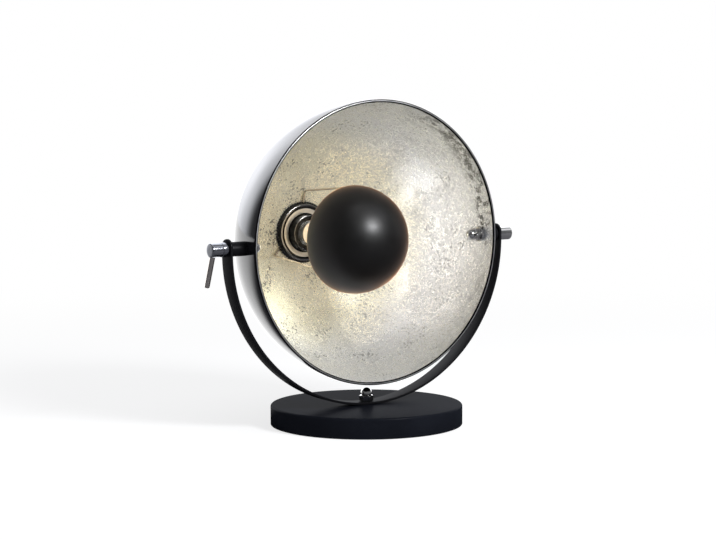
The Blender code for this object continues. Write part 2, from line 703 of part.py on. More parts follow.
def lampholder_body(shade):
    """Moulded holder: threaded skirt through the bowl, flange behind it and a pocket for the insert."""
    bore = SHELL_RADIUS + SEAT_GAP
    pocket = INSERT_RADIUS + SEAT_GAP
    profile = [
        (pocket, HOLDER_BACK),
        (HOLDER_BODY_RADIUS, HOLDER_BACK),
        (HOLDER_BODY_RADIUS, FLANGE_FRONT + HOLDER_FLANGE_THICKNESS),
        (HOLDER_FLANGE_RADIUS, FLANGE_FRONT + HOLDER_FLANGE_THICKNESS - HOLDER_EDGE),
        (HOLDER_FLANGE_RADIUS, FLANGE_FRONT),
        (HOLDER_SKIRT_RADIUS, FLANGE_FRONT),
        (HOLDER_SKIRT_RADIUS, SKIRT_FRONT + HOLDER_EDGE),
        (HOLDER_SKIRT_RADIUS - HOLDER_EDGE, SKIRT_FRONT),
        (bore, SKIRT_FRONT),
        (bore, HOLDER_FLOOR_BACK),
        (pocket, HOLDER_FLOOR_BACK),
    ]
    mesh = turned_mesh("lampholder_body", shade_profile(profile), MEDIUM_STEPS)
    add_part("lampholder_body", mesh, "phenolic", shade, ALONG_Y)


def lampholder_inside(shade):
    """Ceramic insert, brass screw shell and centre contact."""
    rivet_hole = CONTACT_SHANK_RADIUS + BORE_GAP
    insert = tube_profile(INSERT_RADIUS, rivet_hole, INSERT_FRONT, INSERT_BACK)
    mesh = turned_mesh("holder_insert", shade_profile(insert), MEDIUM_STEPS)
    add_part("holder_insert", mesh, "porcelain", shade, ALONG_Y)

    shell = tube_profile(
        SHELL_RADIUS, SHELL_RADIUS - SHELL_WALL, SKIRT_FRONT + SHELL_RECESS, HOLDER_FLOOR_BACK
    )
    mesh = turned_mesh("screw_shell", shade_profile(shell), MEDIUM_STEPS)
    add_part("screw_shell", mesh, "brass", shade, ALONG_Y)

    contact = [
        (0.0, INSERT_BACK + CONTACT_TAIL),
        (CONTACT_SHANK_RADIUS, INSERT_BACK + CONTACT_TAIL),
        (CONTACT_SHANK_RADIUS, INSERT_FRONT - SEAT_GAP),
        (CONTACT_HEAD_RADIUS, INSERT_FRONT - SEAT_GAP),
        (CONTACT_HEAD_RADIUS, CONTACT_FRONT),
        (0.0, CONTACT_FRONT),
    ]
    mesh = turned_mesh("centre_contact", shade_profile(contact), TINY_STEPS)
    add_part("centre_contact", mesh, "brass", shade, ALONG_Y)


def lampholder_rear(shade):
    """Rear cap of the holder and the gland that the cord would enter by."""
    spigot = INSERT_RADIUS - SEAT_GAP
    inside = spigot - REAR_CAP_WALL
    shoulder = REAR_CAP_BACK - REAR_CAP_WALL
    taper_start = REAR_CAP_FRONT + REAR_CAP_LENGTH * REAR_CAP_TAPER_SHARE
    hole = NIPPLE_RADIUS + BORE_GAP
    profile = [
        (hole, REAR_CAP_BACK),
        (REAR_CAP_SHOULDER_RADIUS - REAR_CAP_WALL, REAR_CAP_BACK),
        (REAR_CAP_SHOULDER_RADIUS, REAR_CAP_BACK - HOLDER_EDGE),
        (HOLDER_BODY_RADIUS - HOLDER_EDGE, taper_start),
        (HOLDER_BODY_RADIUS, taper_start - REAR_CAP_WALL),
        (HOLDER_BODY_RADIUS, REAR_CAP_FRONT),
        (spigot, REAR_CAP_FRONT),
        (spigot, INSERT_BACK + SEAT_GAP),
        (inside, INSERT_BACK + SEAT_GAP),
        (inside, taper_start - REAR_CAP_WALL),
        (REAR_CAP_SHOULDER_RADIUS - REAR_CAP_WALL, shoulder),
        (hole, shoulder),
    ]
    mesh = turned_mesh("holder_rear_cap", shade_profile(profile), MEDIUM_STEPS)
    add_part("holder_rear_cap", mesh, "phenolic", shade, ALONG_Y)

    back = GLAND_FRONT + GLAND_LENGTH
    nose = shoulder - REAR_CAP_WALL
    profile = [
        (CORD_BORE_RADIUS, back),
        (GLAND_MOUTH_RADIUS, back),
        (GLAND_RADIUS - GLAND_CHAMFER, back - GLAND_CHAMFER),
        (GLAND_RADIUS, GLAND_FRONT + GLAND_CHAMFER),
        (GLAND_RADIUS, GLAND_FRONT),
        (NIPPLE_RADIUS, GLAND_FRONT),
        (NIPPLE_RADIUS, nose),
        (CORD_BORE_RADIUS, nose),
    ]
    mesh = turned_mesh("cord_gland", shade_profile(profile), SMALL_STEPS)
    add_part("cord_gland", mesh, "soft_rubber", shade, ALONG_Y)


def shade_ring(shade):
    """Knurled ring on the holder's skirt, with a groove in its front face."""
    bore = HOLDER_SKIRT_RADIUS + BORE_GAP
    floor = RING_FRONT + RING_GROOVE_DEPTH
    profile = [
        (bore, RING_BACK),
        (RING_BACK_RADIUS, RING_BACK),
        (RING_FRONT_RADIUS, RING_FRONT + RING_EDGE),
        (RING_FRONT_RADIUS - RING_EDGE, RING_FRONT),
        (RING_GROOVE_OUTER, RING_FRONT),
        (RING_GROOVE_OUTER - RING_EDGE, floor),
        (RING_GROOVE_INNER, floor),
        (RING_GROOVE_INNER, RING_FRONT),
        (bore, RING_FRONT),
    ]
    mesh = turned_mesh("shade_ring", shade_profile(profile), 2 * RING_NOTCH_COUNT)
    ring = add_part("shade_ring", mesh, "phenolic", shade, ALONG_Y)

    bm = bmesh.new()
    low = at_depth(RING_FRONT - CUT_OVERRUN)
    high = at_depth(RING_BACK + CUT_OVERRUN)
    flank_lean = math.atan((RING_BACK_RADIUS - RING_FRONT_RADIUS) / RING_THICKNESS)
    middle_radius = (RING_BACK_RADIUS + RING_FRONT_RADIUS) / 2
    for index in range(RING_NOTCH_COUNT):
        angle = 2 * math.pi * (index + RING_NOTCH_TURN_SHARE) / RING_NOTCH_COUNT
        notch = prism_mesh("ring_notch", RING_NOTCH_SIDES, RING_NOTCH_RADIUS, low, high)
        first = len(bm.verts)
        bm.from_mesh(notch)
        bpy.data.meshes.remove(notch)
        bm.verts.ensure_lookup_table()
        verts = bm.verts[first:]
        middle = Vector((0.0, 0.0, (low + high) / 2))
        bmesh.ops.translate(bm, verts=verts, vec=-middle)
        bmesh.ops.rotate(bm, verts=verts, matrix=Matrix.Rotation(flank_lean, 3, "Y"))
        bmesh.ops.translate(bm, verts=verts, vec=middle + Vector((middle_radius, 0.0, 0.0)))
        bmesh.ops.rotate(bm, verts=verts, matrix=Matrix.Rotation(angle, 3, "Z"))
    mesh = bpy.data.meshes.new("ring_notches")
    bm.to_mesh(mesh)
    bm.free()
    boolean(ring, add_cutter("ring_notches", mesh, shade, ALONG_Y), "DIFFERENCE")


def cap_frame(shade):
    """Plate clamped behind the shade ring, with three wires welded on that hold the glare cap."""
    plate = tube_profile(
        FRAME_PLATE_RADIUS,
        HOLDER_SKIRT_RADIUS + BORE_GAP,
        FRAME_PLATE_FRONT,
        FRAME_PLATE_FRONT + FRAME_PLATE_THICKNESS,
    )
    mesh = turned_mesh("cap_frame", shade_profile(plate), MEDIUM_STEPS)
    frame = add_part("cap_frame", mesh, "steel_wire", shade, ALONG_Y)

    bowl_inside = (DISH_BOWL_DEPTH - DISH_WALL) * math.sqrt(
        1.0 - (WIRE_CORNER_RADIUS / (DISH_RADIUS - DISH_WALL)) ** 2
    )
    weld_depth = DISH_BACK_INSIDE - SEAT_GAP - WIRE_RADIUS
    corner_depth = bowl_inside - WIRE_WALL_CLEARANCE - WIRE_RADIUS
    grip_radius = CAP_RADIUS - CAP_WALL - SEAT_GAP - WIRE_RADIUS
    stations = [
        (FRAME_PLATE_RADIUS - WIRE_WELD_OVERLAP, weld_depth),
        (WIRE_CORNER_RADIUS, corner_depth),
        (grip_radius, CAP_REAR_EDGE + WIRE_STRAIGHT_BEHIND_CAP),
        (grip_radius, CAP_CENTRE_DEPTH),
    ]
    routes = []
    for angle in WIRE_ANGLES:
        corners = [
            Vector((radius * math.cos(angle), at_depth(depth), radius * math.sin(angle)))
            for radius, depth in stations
        ]
        routes.append(rounded_route(corners, WIRE_BEND_RADIUS, WIRE_BEND_SEGMENTS))
    wires = add_cutter("frame_wires", wires_mesh("frame_wires", routes, WIRE_RADIUS), shade)
    boolean(frame, wires, "UNION")


def glare_cap(shade):
    """Thin half ball with a short skirt, open to the back."""
    inner = CAP_RADIUS - CAP_WALL
    outside = arc(0.0, CAP_CENTRE_DEPTH, CAP_RADIUS, 0.0, -90.0, CAP_CURVE_SEGMENTS)
    inside = arc(0.0, CAP_CENTRE_DEPTH, inner, -90.0, 0.0, CAP_CURVE_SEGMENTS)
    outside[-1] = (0.0, CAP_CENTRE_DEPTH - CAP_RADIUS)
    inside[0] = (0.0, CAP_CENTRE_DEPTH - inner)
    rim = [(inner, CAP_REAR_EDGE), (CAP_RADIUS, CAP_REAR_EDGE)]
    profile = inside + rim + outside
    mesh = turned_mesh("glare_cap", shade_profile(profile), CAP_STEPS)
    add_part("glare_cap", mesh, "black_cap", shade, ALONG_Y)


def bulb(shade):
    """Standard bulb: blown glass, threaded cap, insulator and contact."""
    front = BULB_PIP_END - BULB_LENGTH
    centre = front + BULB_RADIUS
    neck_front = BULB_CAP_FRONT - BULB_NECK_LENGTH
    neck_back = BULB_CAP_FRONT + BULB_CAP_FOOT
    cap_inside = BULB_CAP_RADIUS - BULB_CAP_WALL
    glass_end_radius = cap_inside - SEAT_GAP

    def glass_side(wall):
        radius = BULB_RADIUS - wall
        shoulder = BULB_NECK_RADIUS + (BULB_RADIUS - BULB_NECK_RADIUS) * BULB_SHOULDER_SHARE - wall
        side = arc(0.0, centre, radius, -90.0, BULB_BALL_END, BULB_CURVE_SEGMENTS)
        side[0] = (0.0, centre - radius)
        side.append((shoulder, neck_front))
        side.append((BULB_NECK_RADIUS - wall, BULB_CAP_FRONT))
        side.append((glass_end_radius - wall, neck_back))
        return side

    profile = glass_side(BULB_WALL) + glass_side(0.0)[::-1]
    mesh = turned_mesh("bulb_glass", shade_profile(profile), SMALL_STEPS)
    add_part("bulb_glass", mesh, "opal_glass", shade, ALONG_Y)

    insulator_back = BULB_PIP_END - BULB_PIP_HEIGHT
    cone_front = insulator_back - BULB_CAP_FOOT
    profile = [
        (BULB_INSULATOR_RADIUS, insulator_back),
        (BULB_CAP_RADIUS, cone_front),
        (BULB_CAP_RADIUS, BULB_CAP_FRONT),
        (cap_inside, BULB_CAP_FRONT),
        (cap_inside, cone_front),
        (BULB_INSULATOR_RADIUS - BULB_CAP_WALL, insulator_back),
    ]
    mesh = turned_mesh("bulb_cap", shade_profile(profile), MEDIUM_STEPS)
    add_part("bulb_cap", mesh, "aluminium", shade, ALONG_Y)

    plug_front = insulator_back - BULB_CAP_FOOT * BULB_PLUG_SHARE
    plug_radius = BULB_INSULATOR_RADIUS - BULB_CAP_WALL - SEAT_GAP
    profile = [
        (0.0, BULB_PIP_END),
        (BULB_PIP_RADIUS, BULB_PIP_END),
        (BULB_PIP_RADIUS, insulator_back),
        (plug_radius, insulator_back),
        (plug_radius, plug_front),
        (0.0, plug_front),
    ]
    mesh = turned_mesh("bulb_contact", shade_profile(profile), TINY_STEPS)
    add_part("bulb_contact", mesh, "phenolic", shade, ALONG_Y)


def build_lamp():
    yoke = pivot_empty("yoke_axis", (0.0, 0.0, 0.0))
    shade = pivot_empty("shade_axis", (0.0, 0.0, PIVOT_HEIGHT))
    clamp_axis = pivot_empty("clamp_axis", (0.0, 0.0, PIVOT_HEIGHT))

    base_cover()
    base_weight()
    base_pad()
    base_bolt()
    acorn_nut("yoke_nut", YOKE_NUT_SEAT, None)
    yoke_strip(yoke)

    shade_shell(shade)
    outside_bowl = bowl_solid("bowl_outside", SEAT_GAP, shade)
    inside_bowl = bowl_solid("bowl_inside", -DISH_WALL - SEAT_GAP, shade)
    for side, sign in (("left", -1), ("right", 1)):
        pivot_side(side, sign, shade, outside_bowl, inside_bowl)
    end_cap(shade)
    clamp(clamp_axis)

    lampholder_body(shade)
    lampholder_inside(shade)
    lampholder_rear(shade)
    shade_ring(shade)
    cap_frame(shade)
    glare_cap(shade)
    bulb(shade)


clear_scene()
PARTS = new_collection("table_lamp")
CUTTERS = new_collection("cutters", hidden=True)
build_lamp()
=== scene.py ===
"""Looks of the table lamp: fine meshes, finishes, studio light and camera round the CAD frame.

Lengths are in metres, +Z is up, and the mouth of the shade faces -Y at rest.
Depths are counted back along the shade's axis from the plane of its rim.
"""

import math

import bmesh
import bpy
from mathutils import Matrix, Vector


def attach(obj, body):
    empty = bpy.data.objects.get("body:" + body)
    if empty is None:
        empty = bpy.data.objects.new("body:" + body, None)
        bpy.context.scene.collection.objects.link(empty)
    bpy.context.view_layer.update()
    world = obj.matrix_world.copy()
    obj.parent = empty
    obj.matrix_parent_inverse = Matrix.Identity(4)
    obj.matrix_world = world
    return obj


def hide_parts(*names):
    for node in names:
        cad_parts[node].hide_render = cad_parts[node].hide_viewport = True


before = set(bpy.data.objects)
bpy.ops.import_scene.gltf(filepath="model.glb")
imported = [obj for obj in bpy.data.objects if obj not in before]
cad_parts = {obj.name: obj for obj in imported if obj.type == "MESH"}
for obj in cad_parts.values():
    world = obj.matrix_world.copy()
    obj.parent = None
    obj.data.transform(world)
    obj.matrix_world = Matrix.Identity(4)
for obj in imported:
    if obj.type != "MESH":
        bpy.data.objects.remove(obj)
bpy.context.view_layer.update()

# Shared fits and edges; a pair for a rounding is its radius and its segments
GAP = 0.0003
BOLT_HOLE = 0.0043
OVERRUN = 0.002
FINE_EDGE = 0.0002
THIN_EDGE = 0.0003
SMALL_EDGE = 0.0005
SOFT_EDGE = (THIN_EDGE, 3)
FOOT_EDGE = (0.0004, 0.0006)
SAME = 1e-6

# Fineness of the meshes: steps round a piece, segments along its curves
DRILL_STEPS = 48
LEVER_STEPS = 64
SMALL_STEPS = 96
HOLDER_STEPS = 128
NUT_STEPS = 144
PAD_STEPS = 160
CAP_STEPS = 180
BASE_STEPS = 192
DISH_STEPS = 216
REAR_STEPS = 256
RING_STEPS = 480
TOOTH_STEPS = 8
DISH_SEGMENTS = 72
BALL_SEGMENTS = 44
POLE_ANGLE = 88.0
SKIRT_ROWS = 90
SHELL_ROWS = 110
SHARP = 40.0
RING_SHARP = 32.0
NUT_SHARP = 24.0
YOKE_SHARP = 35.0
WELD = 1e-7
CORNER_SHARE = 0.45

# Base
BASE_RADIUS = 0.1018
BASE_HEIGHT = 0.022
BASE_WALL = 0.0015
BASE_EDGE = 0.0022
BASE_EDGE_STEPS = 12
BASE_LIFT = 0.0007
BASE_TOP_RINGS = (0.040, 0.080)
PAD_THICKNESS = 0.002
PAD_RINGS = (0.060, 0.020, 0.0)

# Yoke
YOKE_BOTTOM = BASE_HEIGHT + GAP
YOKE_RADIUS = 0.169
YOKE_WIDTH = 0.0192
YOKE_THICKNESS = 0.0025
YOKE_FLAT = 0.020
YOKE_EYE = 0.0107
YOKE_EYE_STEPS = 12
YOKE_ARC_STEPS = 80
YOKE_FOOT_STEP = 0.006
YOKE_TIP = 0.0008
YOKE_EDGE = 0.0005
YOKE_EDGE_STEPS = 4
YOKE_CENTRE = YOKE_BOTTOM + math.sqrt(YOKE_RADIUS**2 - (YOKE_FLAT / 2) ** 2)
PIVOT_HEIGHT = YOKE_CENTRE + 0.004
YOKE_TOP = YOKE_BOTTOM + YOKE_THICKNESS

# Dish
DISH_RADIUS = 0.150
DISH_DEPTH = 0.160
DISH_WALL = 0.001
DISH_FLAT = 0.034
DISH_CORNER = (0.003, 6)
DISH_CUT = 3
RIM_AHEAD = 0.026
LIP = 0.0016
LIP_TURN = 232.0
LIP_STEPS = 58
LIP_BRIGHT = (-66.0, -104.0)
LIP_CLEAR = 2.4 * LIP
DISH_BACK = DISH_DEPTH * math.sqrt(1.0 - (DISH_FLAT / DISH_RADIUS) ** 2)
DISH_FLOOR = DISH_BACK - DISH_WALL

# Nuts, washers and pivot hardware
NUT_FLATS = 0.013
NUT_CORNER = NUT_FLATS / 2 / math.cos(math.pi / 6)
NUT_HEX_HEIGHT = 0.0062
NUT_HEIGHT = 0.0145
NUT_DOME = 0.006
NUT_DOME_END = 86.0
NUT_DOME_STEPS = 18
NUT_BORE_DEPTH = 0.0098
NUT_FOOT_EDGE = (0.0010, 0.00055)
NUT_SIDE_SHARES = (0.3, 0.5, 0.7)
NUT_SHOULDER = (0.00125, 0.0011)
NUT_BEND = 0.8
NUT_BEND_STEPS = 8
NUT_NECK = ((-0.0001, 0.0), (-0.0003, 0.0003), (0.0, 0.0007))
WASHER_RADIUS = 0.008
SADDLE_EDGE = 0.0011
SLEEVE_RADIUS = 0.0075
SLEEVE_RING = 0.155
COLLAR_LENGTH = 0.0062
KNOB_RADIUS = 0.0075
KNOB_LENGTH = 0.0125
KNOB_BORE_DEPTH = 0.0045
KNOB_EDGE = (0.0011, 8)
END_CAP_LENGTH = 0.0157
END_CAP_BORE_DEPTH = 0.01
LEVER_RADIUS = 0.0028
LEVER_REACH = 0.0425
LEVER_SEAT = 0.0022
LEVER_RINGS = (0.012, 0.024)
LEVER_TIP_SHARE = 0.45
LEVER_TIP_STEPS = 8
LEVER_FROM_END = 0.0046
LEVER_LEAN = math.radians(21.0)
OUTSIDE_X = YOKE_RADIUS + GAP
SLEEVE_END = YOKE_RADIUS - YOKE_THICKNESS - GAP

# Lampholder
SKIRT_RADIUS = 0.01975
SKIRT_PROUD = 0.010
THREAD_FADE = 0.0008
FLANGE_RADIUS = 0.0245
FLANGE_DEPTH = 0.003
HOLDER_RADIUS = 0.0228
HOLDER_LENGTH = 0.015
HOLDER_EDGE = 0.0006
SKIRT_CORNER_SHARE = 0.3
INSERT_RADIUS = 0.0195
INSERT_SEAT = 0.003
INSERT_DEPTH = 0.0075
CONTACT_DEPTH = 0.0009
SHELL_RADIUS = 0.0139
SHELL_WALL = 0.0004
THREAD_PITCH = 0.0036
REAR_LENGTH = 0.018
REAR_WALL = 0.002
REAR_EDGE = (0.0012, 5)
REAR_SHOULDER = 0.012
GRIP_INSET = 0.0012
GRIP_DEPTH = 0.0004
GRIP_RIBS = 32
GRIP_ROWS = 10
NIPPLE_RADIUS = 0.005
GLAND_RADIUS = 0.008
GLAND_LENGTH = 0.0095
GLAND_MOUTH = 0.0056
GLAND_EDGE = 0.0012
GLAND_RIBS = 6
GLAND_TAPER = 0.0009
GLAND_RIB = (0.0005, 0.0004)
CORD_BORE = 0.0036

# Plate and ring
PLATE_RADIUS = 0.034
PLATE_DEPTH = 0.001
PLATE_TOOTH = 0.0009
PLATE_TEETH = 64
RING_BACK_RADIUS = 0.0323
RING_FRONT_RADIUS = 0.0308
RING_DEPTH = 0.004
RING_FLANK_STEPS = 8
RING_BORE = SKIRT_RADIUS + GAP
# Face of the ring from its rim inwards: radius, depth behind the front, finish. Finish 1 is a metal line for
# a painted highlight on the rim, and finish 2 a cream metal band for a painted warm reflection of the bulb
# on the black face
RING_PROFILE = (
    (RING_FRONT_RADIUS - 0.00015, 0.00015, 1),
    (RING_FRONT_RADIUS - 0.0005, 0.0, 1),
    (0.0289, 0.0, 0),
    (0.0286, 0.0003, 0),
    (0.0284, 0.0012, 0),
    (0.0270, 0.0012, 0),
    (0.0268, 0.0002, 0),
    (0.0266, 0.0, 2),
    (RING_BORE + 0.0016, 0.0, 0),
    (RING_BORE, 0.0004, 0),
)
KNURL_RIBS = 60
KNURL_DEPTH = 0.0006
KNURL_BEND = 0.7
KNURL_BAND = (0.16, 0.97)

# Places along the shade's axis
PLATE_FRONT = DISH_FLOOR - GAP - PLATE_DEPTH
RING_BACK = PLATE_FRONT - GAP
RING_FRONT = RING_BACK - RING_DEPTH
SKIRT_FRONT = RING_FRONT - SKIRT_PROUD
FLANGE_FRONT = DISH_BACK + GAP
HOLDER_BACK = FLANGE_FRONT + HOLDER_LENGTH
INSERT_BACK = HOLDER_BACK - INSERT_SEAT - GAP
INSERT_FRONT = INSERT_BACK - INSERT_DEPTH
HOLDER_FLOOR = INSERT_FRONT - GAP
REAR_FRONT = HOLDER_BACK + GAP
REAR_TAPER = REAR_FRONT + REAR_LENGTH / 2
REAR_BACK = REAR_FRONT + REAR_LENGTH
REAR_FLOOR = REAR_BACK - REAR_WALL
GLAND_FRONT = REAR_BACK + GAP
SHELL_FRONT = SKIRT_FRONT + 0.001

# Waves of the threads: low end, high end, pitch, depth
SKIRT_THREAD = (SKIRT_FRONT + 0.0008, RING_FRONT + 0.002, 0.0022, 0.0005)
SHELL_THREAD = (SHELL_FRONT + 0.001, HOLDER_FLOOR - 0.002, THREAD_PITCH, 0.0003)

# Wires and glare cap
WIRE_RADIUS = 0.0011
WIRE_START = 0.0013
WIRE_CORNER_RADIUS = 0.046
WIRE_CLEAR = 0.0007
WIRE_ENTRY = 0.003
WIRE_BEND = (0.0035, 10)
WIRE_BEVELS = 6
WIRE_ANGLES = (90.0, 210.0, 330.0)
CAP_RADIUS = 0.0577
CAP_WALL = 0.001
CAP_CENTRE = 0.0488
CAP_SKIRT = 0.003
CAP_RIM = ((0.0, 0.0004), (0.00025, 0.0001), (0.0005, 0.0))

# Bulb
BULB_END = INSERT_FRONT - GAP - CONTACT_DEPTH - GAP
BULB_LENGTH = 0.104
BULB_RADIUS = 0.030
BULB_BALL_END = 35.0
BULB_PULL = 0.45
BULB_CURVE_STEPS = 24
BULB_WALL = 0.0008
BULB_NECK = 0.0125
BULB_NECK_REACH = 0.004
BULB_CAP_RADIUS = 0.0132
BULB_CAP_WALL = 0.0004
BULB_CAP_LENGTH = 0.0265
BULB_CAP_FRONT = BULB_END - BULB_CAP_LENGTH
BULB_INSULATOR = BULB_END - 0.0013
BULB_CONE = BULB_INSULATOR - 0.004
BULB_THREAD = (BULB_CAP_FRONT + 0.003, BULB_CONE - 0.001, THREAD_PITCH, 0.0007)
BULB_CONE_RADIUS = 0.0095

# Finishes: texture sizes as scale, detail, roughness and distortion, ranges as low, high and their values
BULB_COLOUR = (1.0, 0.955, 0.875)
BULB_NECK_COLOUR = (0.95, 0.66, 0.34)
BULB_GLOW = 3.55
BULB_NECK_GLOW = BULB_GLOW * 0.15
BULB_FADE = (0.056, 0.092)
PLAIN_IOR = 1.5
MIDDLE = (0.3, 0.7)
SUM_MIDDLE = (0.7, 1.3)
POWDER = ((1500.0, 2.0, 0.6), (16.0, 4.0), (0.00006, 0.6))
MOULDED_GRAIN = (4.0, 0.6)
MOULDED_CLOUD = (45.0, 4.0)
MOULDED_STRENGTH = 0.5
METAL_MARKS = (900.0, 4.0, 0.6)
METAL_CLOUD = (60.0, 4.0)
METAL_RELIEF = (0.00001, 0.25)
LEAF_TEXTURES = {
    "cloud": (9.0, 5.0, 0.6),
    "drift": (17.0, 4.0, 0.55),
    "patch": (85.0, 6.0, 0.70, 0.2),
    "fleck": (300.0, 4.0, 0.7, 0.3),
    "speck": (430.0, 2.0, 0.5),
    "cluster": (26.0, 3.0, 0.6),
    "worm": (240.0, 6.0, 0.78, 1.8),
    "grain": (900.0, 3.0, 0.7),
}
LEAF_RANGES = {
    "near_rim": (0.040, 0.020),
    "to_right": (0.03, 0.10),
    "above": (PIVOT_HEIGHT - 0.035, PIVOT_HEIGHT + 0.010, 0.25, 1.0),
    "cloudy": (0.38, 0.66, -0.07, 0.03),
    "blotch": (0.455, 0.515),
    "worn": (0.40, 0.50),
    "sparse": (0.67, 0.72),
    "gathered": (0.46, 0.66, 0.0, 0.13),
    "dots": (0.685, 0.72),
    "strength": (-0.02, 0.05, 0.95, 0.58),
    "sideways": (-0.03, 0.09, -0.04, 0.10),
    "upward": (0.07, 0.12, 0.0, -0.12),
    "stippled": (0.46, 0.60, 0.38, 1.0),
    "painted_bulb_warmth": (0.092, 0.150),
    "darker": (0.45, 0.56, 0.0, 0.60),
    "rough": (0.35, 0.65, 0.24, 0.345),
}
RIM_DENSITY = 0.13
CLOUD_DRIFT = 0.03
STAIN_SHARE = 0.90
STAIN_ROUGH = 0.15
FLECK_HEIGHT = 0.5
GRAIN_HEIGHT = 0.16
LEAF_RELIEF = (0.0006, 0.70)
SILVER = ((0.90, 0.91, 0.94), (0.96, 0.97, 0.99))
# Warm colour of the leaf near the bulb: painted light of the bulb, not a colour of the leaf
WARM_LIT_SILVER = (0.97, 0.93, 0.74)
MOTTLE = (0.46, 0.46, 0.46)
PATINA = (0.12, 0.115, 0.10)

# Camera as fitted to the photograph, with its image 716 by 540 pixels
VIEW_AZIMUTH = math.radians(-32.4589)
VIEW_ELEVATION = math.radians(5.9032)
VIEW_ROLL = math.radians(-0.1818)
VIEW_DISTANCE = 2.69125
VIEW_SIDE = -0.008487
VIEW_HEIGHT = 0.164393
VIEW_CLIP = (0.1, 60.0)
FOCAL_PIXELS = 2548.88
IMAGE_WIDTH = 716.0
SENSOR_WIDTH = 36.0

# Studio: ways are directions, and fades are low, high and their values
WHITE = (1.0, 1.0, 1.0)
FLOOR_RADIUS = 14.0
FLOOR_STEPS = 96
FLOOR_DROP = 0.0002
FLOOR_LIT = (0.80, 0.80, 0.80)
FLOOR_SEEN = (0.40, 0.40, 0.40)
FLOOR_LIFT = 0.74
FLOOR_FADE = (0.35, 1.4)
FLOOR_GLOW_WAY = (0.0, 1.0, 0.0)
FLOOR_GLOW_FADE = (0.79, 0.93, 0.0, 1.9)
MIRRORED_FLOOR = (0.16, 0.16, 0.17)
MIRROR_TINT = (0.94, 0.955, 1.0)
WORLD_LIGHT = 0.36
BACKDROP_WAY = (0.707, 0.707, 0.0)
BACKDROP_FADE = (0.2, 1.0, 0.14, 1.0)
PANEL_LEFT = (-0.42, -0.18, 0.0, 3.0)
PANEL_RIGHT = (0.0, 0.35, 1.0, 0.45)
PANEL_REAR = (0.0, 0.3, 0.0, 1.0)
PANEL_RISE = (-0.05, 0.22, 0.6, 1.0)
UPPER_WAY = (0.54, -0.42, 0.73)
UPPER_FADE = (0.94, 0.995, 0.0, 0.75)
LIGHT_AIM = Vector((0.0, 0.0, 0.18))
# Azimuth and elevation in degrees, distance, size, power in watts, colour
SOFTBOXES = {
    "key": (12.0, 31.0, 1.8, (0.50, 0.40), 26.0, (0.97, 0.98, 1.0)),
    "overhead": (0.0, 78.0, 2.0, (1.2, 1.2), 4.0, WHITE),
}


# Shapes

def axis_frame(origin, along, side):
    """Matrix from a turned profile's own frame: local Z runs along the axis, local X to the side."""
    z = Vector(along).normalized()
    x = Vector(side).normalized()
    place = Matrix((x, z.cross(x), z)).transposed().to_4x4()
    place.translation = Vector(origin)
    return place


UPRIGHT = Matrix.Identity(4)
SHADE_AXIS = axis_frame((0.0, -RIM_AHEAD, PIVOT_HEIGHT), (0.0, 1.0, 0.0), (1.0, 0.0, 0.0))
PIVOT = (0.0, 0.0, PIVOT_HEIGHT)
PIVOT_OUT = {sign: axis_frame(PIVOT, (sign, 0.0, 0.0), (0.0, 0.0, 1.0)) for sign in (1, -1)}


def evenly(start, end, count):
    """Values from start to end in equal steps."""
    return [start + (end - start) * index / count for index in range(count + 1)]


def rows(radius, start, end, count):
    """Points of a straight wall in equal steps."""
    return [(radius, along) for along in evenly(start, end, count)]


def tube(inner, outer, low, high):
    """Corners of a plain tube's section."""
    return [(inner, low), (outer, low), (outer, high), (inner, high)]


def arc(out, along, radius, start, end, segments):
    """Round stretch of a profile about a centre, between two angles in degrees."""
    turns = [math.radians(degrees) for degrees in evenly(start, end, segments)]
    return [(out + radius * math.cos(turn), along + radius * math.sin(turn)) for turn in turns]


def swing(turn):
    """Smooth swing from 0 to 1 and back over one turn."""
    return 0.5 - 0.5 * math.cos(turn)


def bend(before, corner, after, radius, segments):
    """Points of the bend that rounds a corner, as far as the neighbouring sides allow."""
    back, ahead = before - corner, after - corner
    reach = min(radius / math.tan(back.angle(ahead) / 2), CORNER_SHARE * min(back.length, ahead.length))
    first = corner + back.normalized() * reach
    last = corner + ahead.normalized() * reach
    shares = evenly(0.0, 1.0, segments)
    return [tuple(first * (1 - t) ** 2 + corner * (2 * t * (1 - t)) + last * t**2) for t in shares]


def softened(corners, radius, segments=4, closed=True):
    """Profile or path with its corners rounded; an open one keeps both its ends."""
    spots = [Vector(corner) for corner in corners]
    points = []
    for index, spot in enumerate(spots):
        if closed or 0 < index < len(spots) - 1:
            points += bend(spots[index - 1], spot, spots[(index + 1) % len(spots)], radius, segments)
        else:
            points.append(corners[index])
    return points


def in_scene(name, data):
    """New object in the scene that shows some data."""
    made = bpy.data.objects.new(name, data)
    bpy.context.scene.collection.objects.link(made)
    return made


def finish_mesh(name, bm, materials, sharp=SHARP):
    """Object from a bmesh, with outward faces and smooth shading up to its sharp edges."""
    bmesh.ops.remove_doubles(bm, verts=bm.verts, dist=WELD)
    bmesh.ops.recalc_face_normals(bm, faces=bm.faces)
    mesh = bpy.data.meshes.new(name)
    bm.to_mesh(mesh)
    bm.free()
    mesh.shade_smooth()
    mesh.set_sharp_from_angle(angle=math.radians(sharp))
    for material in materials:
        mesh.materials.append(material)
    return in_scene(name, mesh)


